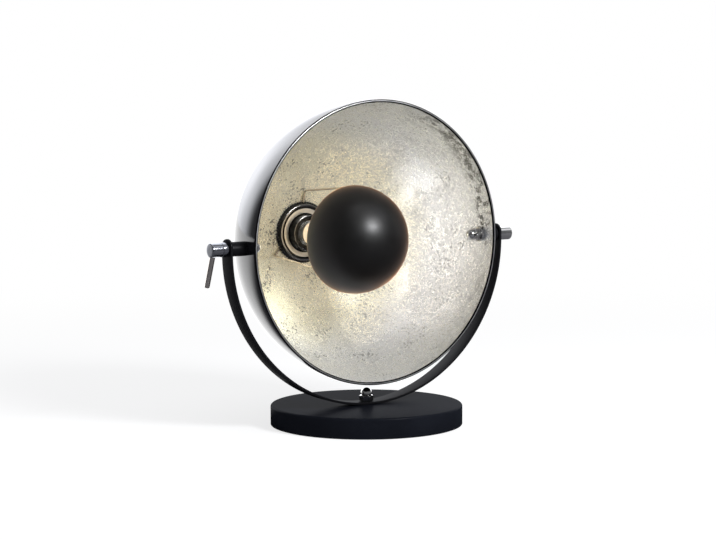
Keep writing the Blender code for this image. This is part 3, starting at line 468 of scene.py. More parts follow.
def lathe(name, profile, steps, place, materials, bands=None, reshape=None, sharp=SHARP):
    """A profile of (radius, along) pairs turned about the axis of a frame.

    Points at radius zero become poles. bands gives each profile side its material,
    and reshape may move a point, given its radius, its angle and its place along.
    """
    bm = bmesh.new()
    rings = []
    for radius, along in profile:
        if radius == 0.0:
            rings.append([bm.verts.new(place @ Vector((0.0, 0.0, along)))])
            continue
        ring = []
        for step in range(steps):
            angle = 2 * math.pi * step / steps
            r, a = (radius, along) if reshape is None else reshape(radius, angle, along)
            ring.append(bm.verts.new(place @ Vector((r * math.cos(angle), r * math.sin(angle), a))))
        rings.append(ring)
    sides = len(rings) if profile[0][0] != 0.0 else len(rings) - 1
    for side in range(sides):
        first, second = rings[side], rings[(side + 1) % len(rings)]
        for step in range(steps):
            after = (step + 1) % steps
            corners = [first[step % len(first)], first[after % len(first)]]
            corners += [second[after % len(second)], second[step % len(second)]]
            unique = list(dict.fromkeys(corners))
            if len(unique) > 2:
                face = bm.faces.new(unique)
                face.material_index = bands[side] if bands else 0
    return finish_mesh(name, bm, materials, sharp)


def evaluated_mesh(made):
    """New mesh of an object as its modifiers or its bevel leave it."""
    bpy.context.view_layer.update()
    return bpy.data.meshes.new_from_object(made.evaluated_get(bpy.context.evaluated_depsgraph_get()))


def wire_tubes(name, routes, radius, materials):
    """Round wires along several routes, with closed ends, as one mesh."""
    curve = bpy.data.curves.new(name, "CURVE")
    curve.dimensions = "3D"
    curve.bevel_depth = radius
    curve.bevel_resolution = WIRE_BEVELS
    curve.use_fill_caps = True
    for route in routes:
        spline = curve.splines.new("POLY")
        spline.points.add(len(route) - 1)
        for point, place in zip(spline.points, route):
            point.co = (*place, 1.0)
    blank = in_scene(name + "_curve", curve)
    mesh = evaluated_mesh(blank)
    bpy.data.objects.remove(blank, do_unlink=True)
    bm = bmesh.new()
    bm.from_mesh(mesh)
    return finish_mesh(name, bm, materials)


def drill(target, name, place, radius, low, high):
    """Cuts a round hole through a piece, and applies the cut."""
    tool = lathe(name, tube(0.0, radius, low, high), DRILL_STEPS, place, [])
    cut = target.modifiers.new(name, "BOOLEAN")
    cut.operation = "DIFFERENCE"
    cut.solver = "EXACT"
    cut.object = tool
    mesh = evaluated_mesh(target)
    target.modifiers.clear()
    target.data = mesh
    bpy.data.objects.remove(tool, do_unlink=True)


def dress(piece, body, slot, node):
    """Lets a piece ride on its body and stand for its node, whose CAD mesh it hides; the slot is not used.
    """
    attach(piece, body)
    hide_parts(node)


def turned(name, profile, steps, materials, slot, node, **more):
    """Piece turned about the shade's axis, which rides on the shade."""
    dress(lathe(name, profile, steps, SHADE_AXIS, materials, **more), "shade", slot, node)


def bowl_curve(offset, from_radius):
    """The bowl's curve, grown by an offset, from a radius out to the rim."""
    radius = DISH_RADIUS + offset
    depth = DISH_DEPTH + offset
    angles = evenly(math.asin(from_radius / radius), math.acos(LIP / depth), DISH_SEGMENTS)
    return [(radius * math.sin(angle), depth * math.cos(angle)) for angle in angles]


def bowl_reach(y, z, offset):
    """How far out along X the bowl's wall lies at a place beside the pivot axis."""
    depth = y + RIM_AHEAD
    radius = (DISH_RADIUS + offset) * math.sqrt(1.0 - (depth / (DISH_DEPTH + offset)) ** 2)
    return math.sqrt(radius**2 - z**2)


# Nodes

def feed(tree, socket, value):
    """Links another node's output to a socket, or sets the socket to a number, vector or colour."""
    if isinstance(value, bpy.types.NodeSocket):
        tree.links.new(value, socket)
    elif socket.type == "RGBA":
        socket.default_value = (*value, 1.0)
    else:
        socket.default_value = value


def fed(tree, kind, *values):
    """New node of a kind, with its first sockets fed in order."""
    node = tree.nodes.new(kind)
    for socket, value in zip(node.inputs, values):
        feed(tree, socket, value)
    return node


def shader(tree, kind, *values):
    """Shader that a new node gives."""
    return fed(tree, kind, *values).outputs[0]


def combined(tree, operation, first, second=0.0):
    """Two values put together by a sum, a product or the like."""
    node = fed(tree, "ShaderNodeMath", first, second)
    node.operation = operation
    return node.outputs[0]


def ramp(tree, value, low, high, to_low=0.0, to_high=1.0):
    """Smooth step of a value between two places."""
    node = fed(tree, "ShaderNodeMapRange", value, low, high, to_low, to_high)
    node.interpolation_type = "SMOOTHSTEP"
    return node.outputs[0]


def of_vectors(tree, operation, output, *vectors):
    """What comes of one or two vectors, such as their dot product."""
    node = fed(tree, "ShaderNodeVectorMath", *vectors)
    node.operation = operation
    return node.outputs[output]


def by_ray(tree, lit, mirrored, seen):
    """Three shaders told apart: for soft light, for mirrors and for the camera's own view."""
    paths = tree.nodes.new("ShaderNodeLightPath").outputs
    direct = combined(tree, "MAXIMUM", paths["Is Camera Ray"], paths["Is Transmission Ray"])
    indirect = shader(tree, "ShaderNodeMixShader", paths["Is Glossy Ray"], lit, mirrored)
    return shader(tree, "ShaderNodeMixShader", direct, indirect, seen)


def cleared_tree(holder):
    """Empty node tree of a material or a world."""
    holder.use_nodes = True
    holder.node_tree.nodes.clear()
    return holder.node_tree


# Materials

class Recipe:
    """Node material under construction, with its textures in the piece's own coordinates."""

    def __init__(self, name, **values):
        self.material = bpy.data.materials.new(name)
        self.material.use_nodes = True
        self.tree = self.material.node_tree
        self.shader = self.tree.nodes["Principled BSDF"]
        self.coords = self.tree.nodes.new("ShaderNodeTexCoord").outputs["Object"]
        self.shade(**values)

    def shade(self, **values):
        """Feeds the shader's sockets; an underline in a name stands for a space."""
        for name, value in values.items():
            feed(self.tree, self.shader.inputs[name.replace("_", " ")], value)

    def noise(self, scale, detail=3.0, roughness=0.5, distortion=0.0):
        """Cloudy texture, mostly between 0.3 and 0.7."""
        node = fed(self.tree, "ShaderNodeTexNoise", self.coords)
        grain = {"Scale": scale, "Detail": detail, "Roughness": roughness, "Distortion": distortion}
        for name, value in grain.items():
            node.inputs[name].default_value = value
        return node.outputs["Fac"]

    def part_of(self, axis):
        """One coordinate of the place on the piece."""
        return fed(self.tree, "ShaderNodeSeparateXYZ", self.coords).outputs[axis]

    def plus(self, first, second):
        """Sum of two values."""
        return combined(self.tree, "ADD", first, second)

    def times(self, first, second):
        """Product of two values."""
        return combined(self.tree, "MULTIPLY", first, second)

    def span(self, value, *places):
        """Smooth step of a value."""
        return ramp(self.tree, value, *places)

    def blend(self, share, first, second):
        """Colour between two colours."""
        node = self.tree.nodes.new("ShaderNodeMix")
        node.data_type = "RGBA"
        for index, value in ((0, share), (6, first), (7, second)):
            feed(self.tree, node.inputs[index], value)
        return node.outputs[2]

    def relief(self, height, distance, strength):
        """Fine bumps in the surface."""
        node = self.tree.nodes.new("ShaderNodeBump")
        for name, value in (("Strength", strength), ("Distance", distance), ("Height", height)):
            feed(self.tree, node.inputs[name], value)
        self.shade(Normal=node.outputs["Normal"])


def paint(name, dark, light, rough, textures, relief, **values):
    """Smooth paint, with slow changes of colour and gloss and a trace of orange peel."""
    mat = Recipe(name, Metallic=0.0, IOR=PLAIN_IOR, **values)
    cloud, wear, peel = textures
    mat.shade(Base_Color=mat.blend(mat.noise(*cloud), dark, light))
    mat.shade(Roughness=mat.span(mat.noise(*wear), *MIDDLE, *rough))
    mat.relief(mat.noise(*peel), *relief)
    return mat.material


def grained(name, dark, light, rough, grain, cloud, relief, **values):
    """Dull surface whose colour and height follow a fine grain."""
    mat = Recipe(name, Metallic=0.0, **values)
    grain, cloud = mat.noise(*grain), mat.noise(*cloud)
    mat.shade(Base_Color=mat.blend(mat.span(mat.plus(grain, cloud), *SUM_MIDDLE), dark, light))
    mat.shade(Roughness=mat.span(cloud, *MIDDLE, *rough))
    mat.relief(grain, *relief)
    return mat.material


def powder_coat(name, dark, light, rough, gloss):
    """Satin black powder coat with its fine pebbled grain: a matt body under a thin gloss."""
    values = {"Specular_IOR_Level": 0.0, "Coat_Weight": gloss, "Coat_Roughness": sum(rough) / 2}
    return grained(name, dark, light, rough, *POWDER, **values)


def moulded(name, dark, light, rough, grain_scale=700.0, grain_depth=0.00003, gloss=0.5):
    """Moulded or woven dull surface with its own grain."""
    grain, relief = (grain_scale, *MOULDED_GRAIN), (grain_depth, MOULDED_STRENGTH)
    values = {"IOR": PLAIN_IOR, "Specular_IOR_Level": gloss}
    return grained(name, dark, light, rough, grain, MOULDED_CLOUD, relief, **values)


def bright_metal(name, dark, light, rough):
    """Plated or polished metal with faint wiping marks."""
    mat = Recipe(name, Metallic=1.0)
    marks, cloud = mat.noise(*METAL_MARKS), mat.noise(*METAL_CLOUD)
    mat.shade(Base_Color=mat.blend(mat.span(cloud, *MIDDLE), dark, light))
    mat.shade(Roughness=mat.span(mat.plus(marks, cloud), *SUM_MIDDLE, *rough))
    mat.relief(marks, *METAL_RELIEF)
    return mat.material


def silver_leaf():
    """Silver leaf with wrinkles, worn flecks and a dark patina that gathers near the rim, and a painted warm
    glow of the bulb towards the bowl's floor.
    """
    mat = Recipe("silver_leaf_patina", Metallic=0.775, IOR=1.45)

    def span(name, value):
        return mat.span(value, *LEAF_RANGES[name])

    depth = mat.plus(mat.part_of("Y"), RIM_AHEAD)
    near_rim = span("near_rim", depth)
    to_right = span("to_right", mat.part_of("X"))
    height = combined(mat.tree, "SUBTRACT", mat.part_of("Z"), PIVOT_HEIGHT)
    level = combined(mat.tree, "ABSOLUTE", height)
    noise = {name: mat.noise(*texture) for name, texture in LEAF_TEXTURES.items()}
    cloud, fleck, worm = noise["cloud"], noise["fleck"], noise["worm"]

    above = span("above", mat.part_of("Z"))
    gathers = mat.times(mat.times(near_rim, to_right), above)
    cloudy = span("cloudy", cloud)
    density = mat.plus(cloudy, mat.times(gathers, RIM_DENSITY))
    blotch = span("blotch", mat.plus(noise["patch"], cloudy))
    worn = mat.times(mat.times(blotch, gathers), span("worn", worm))
    sparse = span("sparse", mat.plus(fleck, density))
    gathered = span("gathered", noise["cluster"])
    dots = span("dots", mat.plus(noise["speck"], gathered))
    strength = span("strength", mat.part_of("X"))
    specks = mat.times(combined(mat.tree, "MAXIMUM", sparse, dots), strength)
    stain = combined(mat.tree, "MAXIMUM", worn, specks)
    sideways = span("sideways", mat.part_of("X"))
    upward = span("upward", level)
    stippled = span("stippled", mat.plus(noise["drift"], mat.plus(sideways, upward)))

    silver = mat.blend(mat.span(cloud, *MIDDLE), *SILVER)
    # Painted light: the leaf turns warm towards the bowl's floor, where the bulb lights it
    painted_bulb_warmth = span("painted_bulb_warmth", mat.plus(depth, mat.times(cloud, CLOUD_DRIFT)))
    bright = mat.blend(painted_bulb_warmth, silver, WARM_LIT_SILVER)
    darker = mat.times(span("darker", worm), stippled)
    mottled = mat.blend(darker, bright, MOTTLE)
    mat.shade(Base_Color=mat.blend(mat.times(stain, STAIN_SHARE), mottled, PATINA))
    mat.shade(Roughness=mat.plus(span("rough", worm), mat.times(stain, STAIN_ROUGH)))
    wrinkles = mat.times(mat.plus(worm, mat.times(fleck, FLECK_HEIGHT)), stippled)
    mat.relief(mat.plus(wrinkles, mat.times(noise["grain"], GRAIN_HEIGHT)), *LEAF_RELIEF)
    return mat.material


def lit_glass():
    """Opal bulb glass, lit warm white, a little dimmer towards its neck."""
    mat = Recipe("bulb_opal_lit", Roughness=0.25)
    mat.shade(Base_Color=mat.blend(mat.noise(70.0), (0.92, 0.88, 0.78), (0.97, 0.93, 0.84)))
    towards_neck = mat.span(mat.part_of("Y"), *BULB_FADE)
    mat.shade(Emission_Color=mat.blend(towards_neck, BULB_COLOUR, BULB_NECK_COLOUR))
    mat.shade(Emission_Strength=mat.span(towards_neck, 0.0, 1.0, BULB_GLOW, BULB_NECK_GLOW))
    return mat.material


# Each finish: dark and light colour, roughness from and to, then what its kind adds
LACQUER = paint(
    "black_lacquer_gloss", (0.0065, 0.0065, 0.0080), (0.011, 0.011, 0.013), (0.06, 0.11),
    ((9.0,), (24.0, 5.0), (420.0, 2.0)), (0.00002, 0.35),
)
LEAF = silver_leaf()
YOKE_COAT = powder_coat("yoke_powder_coat", (0.006, 0.006, 0.007), (0.010, 0.010, 0.012), (0.34, 0.44), 0.20)
BASE_COAT = powder_coat(
    "base_powder_coat", (0.007, 0.008, 0.0115), (0.011, 0.0125, 0.0175), (0.26, 0.36), 0.065
)
# The orange-tinted sheen is a painted warm reflection of the lit leaf round the black cap's rim
CAP_PAINT_WARM_SHEEN = paint(
    "glare_cap_black_warm_sheen", (0.0010, 0.0009, 0.0008), (0.0018, 0.0016, 0.0014), (0.37, 0.43),
    ((30.0,), (60.0, 6.0), (900.0, 2.0)), (0.00002, 0.2),
    Specular_IOR_Level=0.56, Sheen_Weight=0.80, Sheen_Roughness=0.28, Sheen_Tint=(1.0, 0.46, 0.18),
)
CHROME = bright_metal("polished_chrome", (0.74, 0.735, 0.72), (0.84, 0.83, 0.81), (0.07, 0.16))
# Darker, bluish copy of the chrome for collar and knob: painted shade for their darker reflections
CLAMP_SHADED_CHROME = bright_metal("clamp_chrome_painted_shade", (0.30, 0.31, 0.34), (0.42, 0.43, 0.46), (0.14, 0.24))
LEVER_METAL = bright_metal("lever_plating", (0.80, 0.74, 0.68), (0.92, 0.86, 0.80), (0.20, 0.30))
# Tan-brown wire colour: partly the steel's own colour, partly a painted warm reflection of the lit leaf
WIRE = bright_metal("drawn_wire", (0.46, 0.40, 0.33), (0.60, 0.53, 0.45), (0.12, 0.22))
ZINC = bright_metal("zinc_plating", (0.46, 0.47, 0.50), (0.56, 0.57, 0.59), (0.30, 0.45))
LIP_METAL = bright_metal("worn_lip", (0.52, 0.52, 0.52), (0.64, 0.64, 0.64), (0.32, 0.44))
LIP_BLACK = powder_coat("lip_black", (0.004, 0.004, 0.005), (0.007, 0.007, 0.008), (0.25, 0.35), 0.05)
# Cream metal band on the black ring's face: a painted warm reflection of the bulb
RING_REFLECTION_BAND = bright_metal("ring_face_painted_reflection", (0.90, 0.84, 0.74), (0.97, 0.92, 0.82), (0.34, 0.46))
# Metal line on black phenolic edges: a painted edge highlight
EDGE_HIGHLIGHT_METAL = bright_metal("phenolic_edge_painted_highlight", (0.22, 0.21, 0.205), (0.31, 0.30, 0.29), (0.16, 0.26))
BRASS = bright_metal("nickelled_brass", (0.76, 0.73, 0.66), (0.86, 0.83, 0.76), (0.14, 0.24))
ALUMINIUM = bright_metal("rolled_aluminium", (0.64, 0.64, 0.64), (0.76, 0.76, 0.76), (0.22, 0.34))
PHENOLIC = moulded("black_phenolic", (0.004, 0.0035, 0.003), (0.008, 0.007, 0.006), (0.20, 0.30), gloss=0.22)
PORCELAIN = moulded("glazed_porcelain", (0.74, 0.72, 0.66), (0.84, 0.82, 0.77), (0.16, 0.28), 300.0)
RUBBER = moulded("matt_rubber", (0.014, 0.014, 0.014), (0.024, 0.024, 0.024), (0.62, 0.76), 1300.0)
FELT = moulded("black_felt", (0.014, 0.014, 0.015), (0.045, 0.045, 0.046), (0.92, 1.0), 2200.0, 0.0004)
CEMENT = moulded("cast_cement", (0.34, 0.33, 0.31), (0.48, 0.47, 0.44), (0.85, 0.95), 500.0, 0.0002)
GLASS = lit_glass()


# Base

def base_pieces():
    """Pressed cover with its rounded top edge, and the felt pad under the weight."""
    edge_radius = BASE_RADIUS - BASE_EDGE
    edge_height = BASE_HEIGHT - BASE_EDGE
    foot_in, foot_up = FOOT_EDGE
    profile = [(radius, BASE_HEIGHT) for radius in (BOLT_HOLE, *BASE_TOP_RINGS)]
    profile += arc(edge_radius, edge_height, BASE_EDGE, 90.0, 0.0, BASE_EDGE_STEPS)
    profile += [(BASE_RADIUS, BASE_LIFT + foot_up), (BASE_RADIUS - foot_in, BASE_LIFT)]
    profile += [(BASE_RADIUS - BASE_WALL, BASE_LIFT)]
    profile += arc(edge_radius, edge_height, BASE_EDGE - BASE_WALL, 0.0, 90.0, BASE_EDGE_STEPS // 2)
    profile += [(BOLT_HOLE, BASE_HEIGHT - BASE_WALL)]
    cover = lathe("base_shell", profile, BASE_STEPS, UPRIGHT, [BASE_COAT])
    dress(cover, "base", "black_satin", "base_cover")

    radius = BASE_RADIUS - BASE_WALL - GAP
    profile = [(0.0, PAD_THICKNESS), (radius - foot_in, PAD_THICKNESS), (radius, PAD_THICKNESS - foot_in)]
    profile += [(radius, foot_up), (radius - foot_up, 0.0)] + [(ring, 0.0) for ring in PAD_RINGS]
    dress(lathe("felt_pad", profile, PAD_STEPS, UPRIGHT, [FELT]), "base", "felt", "base_pad")


def acorn_nut(name, seat, place, body, node):
    """Domed hexagon nut, chamfered at both ends of its hexagon."""
    top = seat + NUT_HEIGHT
    hex_top = seat + NUT_HEX_HEIGHT
    bore_end = seat + NUT_BORE_DEPTH
    flat = NUT_FLATS / 2
    foot_in, foot_up = NUT_FOOT_EDGE
    inward, drop = NUT_SHOULDER
    profile = [(0.0, bore_end), (BOLT_HOLE, bore_end), (BOLT_HOLE, seat)]
    profile += [(NUT_CORNER - foot_in, seat), (NUT_CORNER, seat + foot_up)]
    profile += [(NUT_CORNER, seat + NUT_HEX_HEIGHT * share) for share in NUT_SIDE_SHARES]
    for share in evenly(0.0, 1.0, NUT_BEND_STEPS):
        profile.append((NUT_CORNER - inward * share, hex_top - drop + drop * share**NUT_BEND))
    profile += [(NUT_DOME + out, hex_top + up) for out, up in NUT_NECK]
    profile += arc(0.0, top - NUT_DOME, NUT_DOME, 0.0, NUT_DOME_END, NUT_DOME_STEPS) + [(0.0, top)]

    def six_sided(radius, angle, along):
        if along > hex_top - SAME or radius < flat:
            return radius, along
        turn = (angle + math.pi / 6) % (math.pi / 3) - math.pi / 6
        return min(radius, flat / math.cos(turn)), along

    nut = lathe(name, profile, NUT_STEPS, place, [CHROME], reshape=six_sided, sharp=NUT_SHARP)
    dress(nut, body, "polished_chrome", node)


# Yoke

def yoke_path():
    """Mid-line of the strip from the left eye over the foot to the right eye, with side directions."""
    middle = YOKE_RADIUS - YOKE_THICKNESS / 2
    foot = math.asin(YOKE_FLAT / 2 / YOKE_RADIUS)
    low = YOKE_BOTTOM + YOKE_THICKNESS / 2
    stations = []
    for angle in evenly(math.pi / 2, 0.0, YOKE_EYE_STEPS):
        lift = YOKE_EYE * math.sin(angle)
        stations.append((Vector((-middle, 0.0, PIVOT_HEIGHT + lift)), Vector((-1.0, 0.0, 0.0))))
    for angle in evenly(math.pi / 2, foot, YOKE_ARC_STEPS):
        out = Vector((-math.sin(angle), 0.0, -math.cos(angle)))
        stations.append((Vector((0.0, 0.0, YOKE_CENTRE)) + out * middle, out))
    stations += [(Vector((x, 0.0, low)), Vector((0.0, 0.0, -1.0))) for x in (-YOKE_FOOT_STEP, 0.0)]
    mirror = Matrix.Diagonal((-1.0, 1.0, 1.0))
    return stations + [(mirror @ place, mirror @ out) for place, out in stations[-2::-1]]


def yoke_section(half_width):
    """Rounded section of the strip: across its width and through its thickness."""
    edge = min(YOKE_EDGE, half_width / 2)
    corners = []
    for side, face, start in ((1, 1, 0), (-1, 1, 90), (-1, -1, 180), (1, -1, 270)):
        centre = (side * (half_width - edge), face * (YOKE_THICKNESS / 2 - edge))
        corners += arc(*centre, edge, start, start + 90, YOKE_EDGE_STEPS)
    return corners


def yoke_pieces():
    """Flat strip bent to a U with round ends, drilled for the pivots and the centre bolt."""
    bm = bmesh.new()
    rings = []
    for place, out in yoke_path():
        past_eye = max(place.z - PIVOT_HEIGHT, 0.0)
        narrow = math.sqrt(max(YOKE_EYE**2 - past_eye**2, 0.0))
        section = yoke_section(max(min(YOKE_WIDTH / 2, narrow), YOKE_TIP))
        places = [place + Vector((0.0, across, 0.0)) + out * through for across, through in section]
        rings.append([bm.verts.new(spot) for spot in places])
    for first, second in zip(rings, rings[1:]):
        for index in range(len(first)):
            after = (index + 1) % len(first)
            bm.faces.new((first[index], first[after], second[after], second[index]))
    bm.faces.new(rings[0])
    bm.faces.new(rings[-1][::-1])
    strip = finish_mesh("yoke_band", bm, [YOKE_COAT], YOKE_SHARP)
    reach = YOKE_RADIUS + OVERRUN
    drill(strip, "pivot_drill", PIVOT_OUT[1], BOLT_HOLE, -reach, reach)
    drill(strip, "foot_drill", UPRIGHT, BOLT_HOLE, YOKE_BOTTOM - OVERRUN, YOKE_TOP + OVERRUN)
    dress(strip, "yoke", "black_satin", "yoke_strip")


# Dish

def dish_piece():
    """Spun bowl: lacquered outside and over its rolled lip, silver leaf inside."""
    hole = SKIRT_RADIUS + GAP
    floor_radius = DISH_FLAT - DISH_WALL
    cut = DISH_CUT
    outside = bowl_curve(0.0, DISH_FLAT)
    inside = bowl_curve(-DISH_WALL, floor_radius)
    outer = softened([(hole, DISH_BACK), outside[0], outside[cut]], *DISH_CORNER, closed=False)
    floor = [inside[cut], (floor_radius, DISH_FLOOR), (hole, DISH_FLOOR)]
    inner = softened(floor, *DISH_CORNER, closed=False)
    lip = arc(DISH_RADIUS - LIP, LIP, LIP, 0.0, -LIP_TURN, LIP_STEPS)
    wall = [point for point in inside[cut + 1:] if point[1] > LIP_CLEAR][::-1]
    lacquered = outer[:-1] + outside[cut:-1]
    leafed = wall + inner
    bands = [0] * len(lacquered)
    bands += [2 if LIP_BRIGHT[0] > turn > LIP_BRIGHT[1] else 3 for turn in evenly(0.0, -LIP_TURN, LIP_STEPS)]
    bands += [1] * (len(leafed) - 1) + [0]
    finishes = [LACQUER, LEAF, LIP_METAL, LIP_BLACK]
    dish = lathe("dish", lacquered + lip + leafed, DISH_STEPS, SHADE_AXIS, finishes, bands=bands)
    reach = DISH_RADIUS + OVERRUN
    drill(dish, "dish_drill", PIVOT_OUT[1], BOLT_HOLE, -reach, reach)
    dress(dish, "shade", "black_lacquer", "shade_shell")


# Pivots

def on_bowl(place, radius, angle, offset):
    """How far along a pivot's axis the bowl's wall lies beside a point of a turned piece."""
    spot = place @ Vector((radius * math.cos(angle), radius * math.sin(angle), 0.0))
    return bowl_reach(spot.y, spot.z - PIVOT_HEIGHT, offset)


def sleeve_piece(side, place, start):
    """Black spacer between bowl and yoke, its inner end cut to the bowl."""
    def cut_to_bowl(radius, angle, along):
        return radius, max(along, on_bowl(place, radius, angle, GAP))

    end = [(SLEEVE_RADIUS, SLEEVE_RING), (SLEEVE_RADIUS, SLEEVE_END), (BOLT_HOLE, SLEEVE_END)]
    profile = [(BOLT_HOLE, start), (SLEEVE_RADIUS, start)] + softened(end, SMALL_EDGE, closed=False)
    sleeve = lathe("sleeve_" + side, profile, SMALL_STEPS, place, [YOKE_COAT], reshape=cut_to_bowl)
    dress(sleeve, "shade", "black_satin", "pivot_sleeve_" + side)


def saddle_piece(side, place, start):
    """Washer inside the bowl, its outer face shaped to the bowl's wall."""
    def kept_in_bowl(radius, angle, along):
        return radius, min(along, on_bowl(place, radius, angle, -DISH_WALL - GAP))

    profile = [(BOLT_HOLE, SLEEVE_END), (WASHER_RADIUS - FINE_EDGE, SLEEVE_END)]
    profile += [(WASHER_RADIUS, SLEEVE_END - FINE_EDGE), (WASHER_RADIUS, start + THIN_EDGE)]
    profile += [(WASHER_RADIUS - THIN_EDGE, start), (BOLT_HOLE, start)]
    washer = lathe("saddle_" + side, profile, SMALL_STEPS, place, [CHROME], reshape=kept_in_bowl)
    dress(washer, "shade", "polished_chrome", "saddle_washer_" + side)


def pivot_pieces():
    """Sleeves, saddle washers and domed nuts of both pivots, and the right stud's cap."""
    start = bowl_reach(WASHER_RADIUS, 0.0, -DISH_WALL) - SADDLE_EDGE
    for side, sign in (("left", -1), ("right", 1)):
        sleeve_piece(side, PIVOT_OUT[sign], start)
        saddle_piece(side, PIVOT_OUT[sign], start)
        acorn_nut("inside_nut_" + side, -(start - GAP), PIVOT_OUT[-sign], "shade", "dish_nut_" + side)
    end = OUTSIDE_X + END_CAP_LENGTH
    cap = round_cap("pivot_end", OUTSIDE_X, end, END_CAP_BORE_DEPTH, PIVOT_OUT[1], CHROME)
    dress(cap, "shade", "polished_chrome", "end_cap")


def clamp_pieces():
    """Collar, knob and lever on the left stud."""
    left = PIVOT_OUT[-1]
    high = OUTSIDE_X + COLLAR_LENGTH
    profile = softened(tube(BOLT_HOLE, KNOB_RADIUS, OUTSIDE_X, high), SMALL_EDGE)
    collar = lathe("collar", profile, SMALL_STEPS, left, [CLAMP_SHADED_CHROME])
    dress(collar, "clamp", "polished_chrome", "clamp_collar")

    low = high + GAP
    high = low + KNOB_LENGTH
    knob = round_cap("knob", low, high, KNOB_BORE_DEPTH, left, CLAMP_SHADED_CHROME)
    lean = Vector((0.0, math.sin(LEVER_LEAN), -math.cos(LEVER_LEAN)))
    lever_frame = axis_frame((LEVER_FROM_END - high, 0.0, PIVOT_HEIGHT), lean, (1.0, 0.0, 0.0))
    drill(knob, "lever_drill", lever_frame, LEVER_RADIUS + GAP, LEVER_SEAT - GAP, KNOB_RADIUS + OVERRUN)
    dress(knob, "clamp", "polished_chrome", "clamp_knob")

    tip = LEVER_RADIUS * LEVER_TIP_SHARE
    profile = [(0.0, LEVER_SEAT), (LEVER_RADIUS - THIN_EDGE, LEVER_SEAT)]
    profile += [(LEVER_RADIUS, LEVER_SEAT + THIN_EDGE)] + [(LEVER_RADIUS, ring) for ring in LEVER_RINGS]
    for angle in evenly(0.0, math.pi / 2, LEVER_TIP_STEPS)[:-1]:
        profile.append((LEVER_RADIUS * math.cos(angle), LEVER_REACH - tip + tip * math.sin(angle)))
    profile.append((0.0, LEVER_REACH))
    lever = lathe("lever", profile, LEVER_STEPS, lever_frame, [LEVER_METAL])
    dress(lever, "clamp", "polished_chrome", "clamp_lever")


def round_cap(name, low, high, bore_depth, place, metal):
    """Metal cap with a rounded face and a blind bore from its low end."""
    corners = [(0.0, high), (KNOB_RADIUS, high), (KNOB_RADIUS, low)]
    rim = softened(corners, *KNOB_EDGE, closed=False)
    rim[-1] = (KNOB_RADIUS, low + FINE_EDGE)
    rim.insert(1, (KNOB_RADIUS / 2, high))
    floor = low + bore_depth
    bore = [(KNOB_RADIUS - FINE_EDGE, low), (BOLT_HOLE, low), (BOLT_HOLE, floor), (0.0, floor)]
    return lathe(name, rim + bore, SMALL_STEPS, place, [metal])


# Lampholder

def threaded(low, high, pitch, depth):
    """Reshaping that waves a wall in and out along a screw line between two places."""
    def wave(radius, angle, along):
        inset = min(max((along - low) / THREAD_FADE, 0.0), max((high - along) / THREAD_FADE, 0.0), 1.0)
        turn = 2 * math.pi * along / pitch + angle
        return radius - depth * inset * (1.0 - swing(turn)), along
    return wave


def holder_body():
    """Flanged body of the lampholder, with the thread that the ring screws on and a painted highlight line
    round its skirt's front edge.
    """
    bore = SHELL_RADIUS + GAP
    pocket = INSERT_RADIUS + GAP
    edge = HOLDER_EDGE
    corner = edge * SKIRT_CORNER_SHARE
    flange_back = FLANGE_FRONT + FLANGE_DEPTH
    profile = [(pocket, HOLDER_BACK), (HOLDER_RADIUS - edge, HOLDER_BACK)]
    profile += [(HOLDER_RADIUS, HOLDER_BACK - edge), (HOLDER_RADIUS, flange_back + edge)]
    profile += [(HOLDER_RADIUS + edge, flange_back)]
    profile += [(FLANGE_RADIUS - edge, flange_back), (FLANGE_RADIUS, flange_back - edge)]
    profile += [(FLANGE_RADIUS, FLANGE_FRONT)]
    profile += rows(SKIRT_RADIUS, FLANGE_FRONT, SKIRT_FRONT + edge, SKIRT_ROWS)
    profile += [(SKIRT_RADIUS - corner, SKIRT_FRONT + corner), (SKIRT_RADIUS - edge, SKIRT_FRONT)]
    profile += [(bore + SMALL_EDGE, SKIRT_FRONT), (bore, SKIRT_FRONT + SMALL_EDGE)]
    profile += [(bore, HOLDER_FLOOR), (pocket, HOLDER_FLOOR)]
    # The skirt's front edge gets the metal line: a painted highlight on the black phenolic
    bands = [int(along < SKIRT_FRONT + edge and radius > SKIRT_RADIUS - edge) for radius, along in profile]
    more = {"bands": bands, "reshape": threaded(*SKIRT_THREAD)}
    turned("holder", profile, HOLDER_STEPS, [PHENOLIC, EDGE_HIGHLIGHT_METAL], "phenolic", "lampholder_body", **more)


def screw_shell():
    """Thin brass shell with the thread for the bulb."""
    profile = rows(SHELL_RADIUS, SHELL_FRONT, HOLDER_FLOOR, SHELL_ROWS)
    profile += rows(SHELL_RADIUS - SHELL_WALL, HOLDER_FLOOR, SHELL_FRONT, SHELL_ROWS)
    thread = threaded(*SHELL_THREAD)
    turned("thread_shell", profile, SMALL_STEPS, [BRASS], "brass", "screw_shell", reshape=thread)


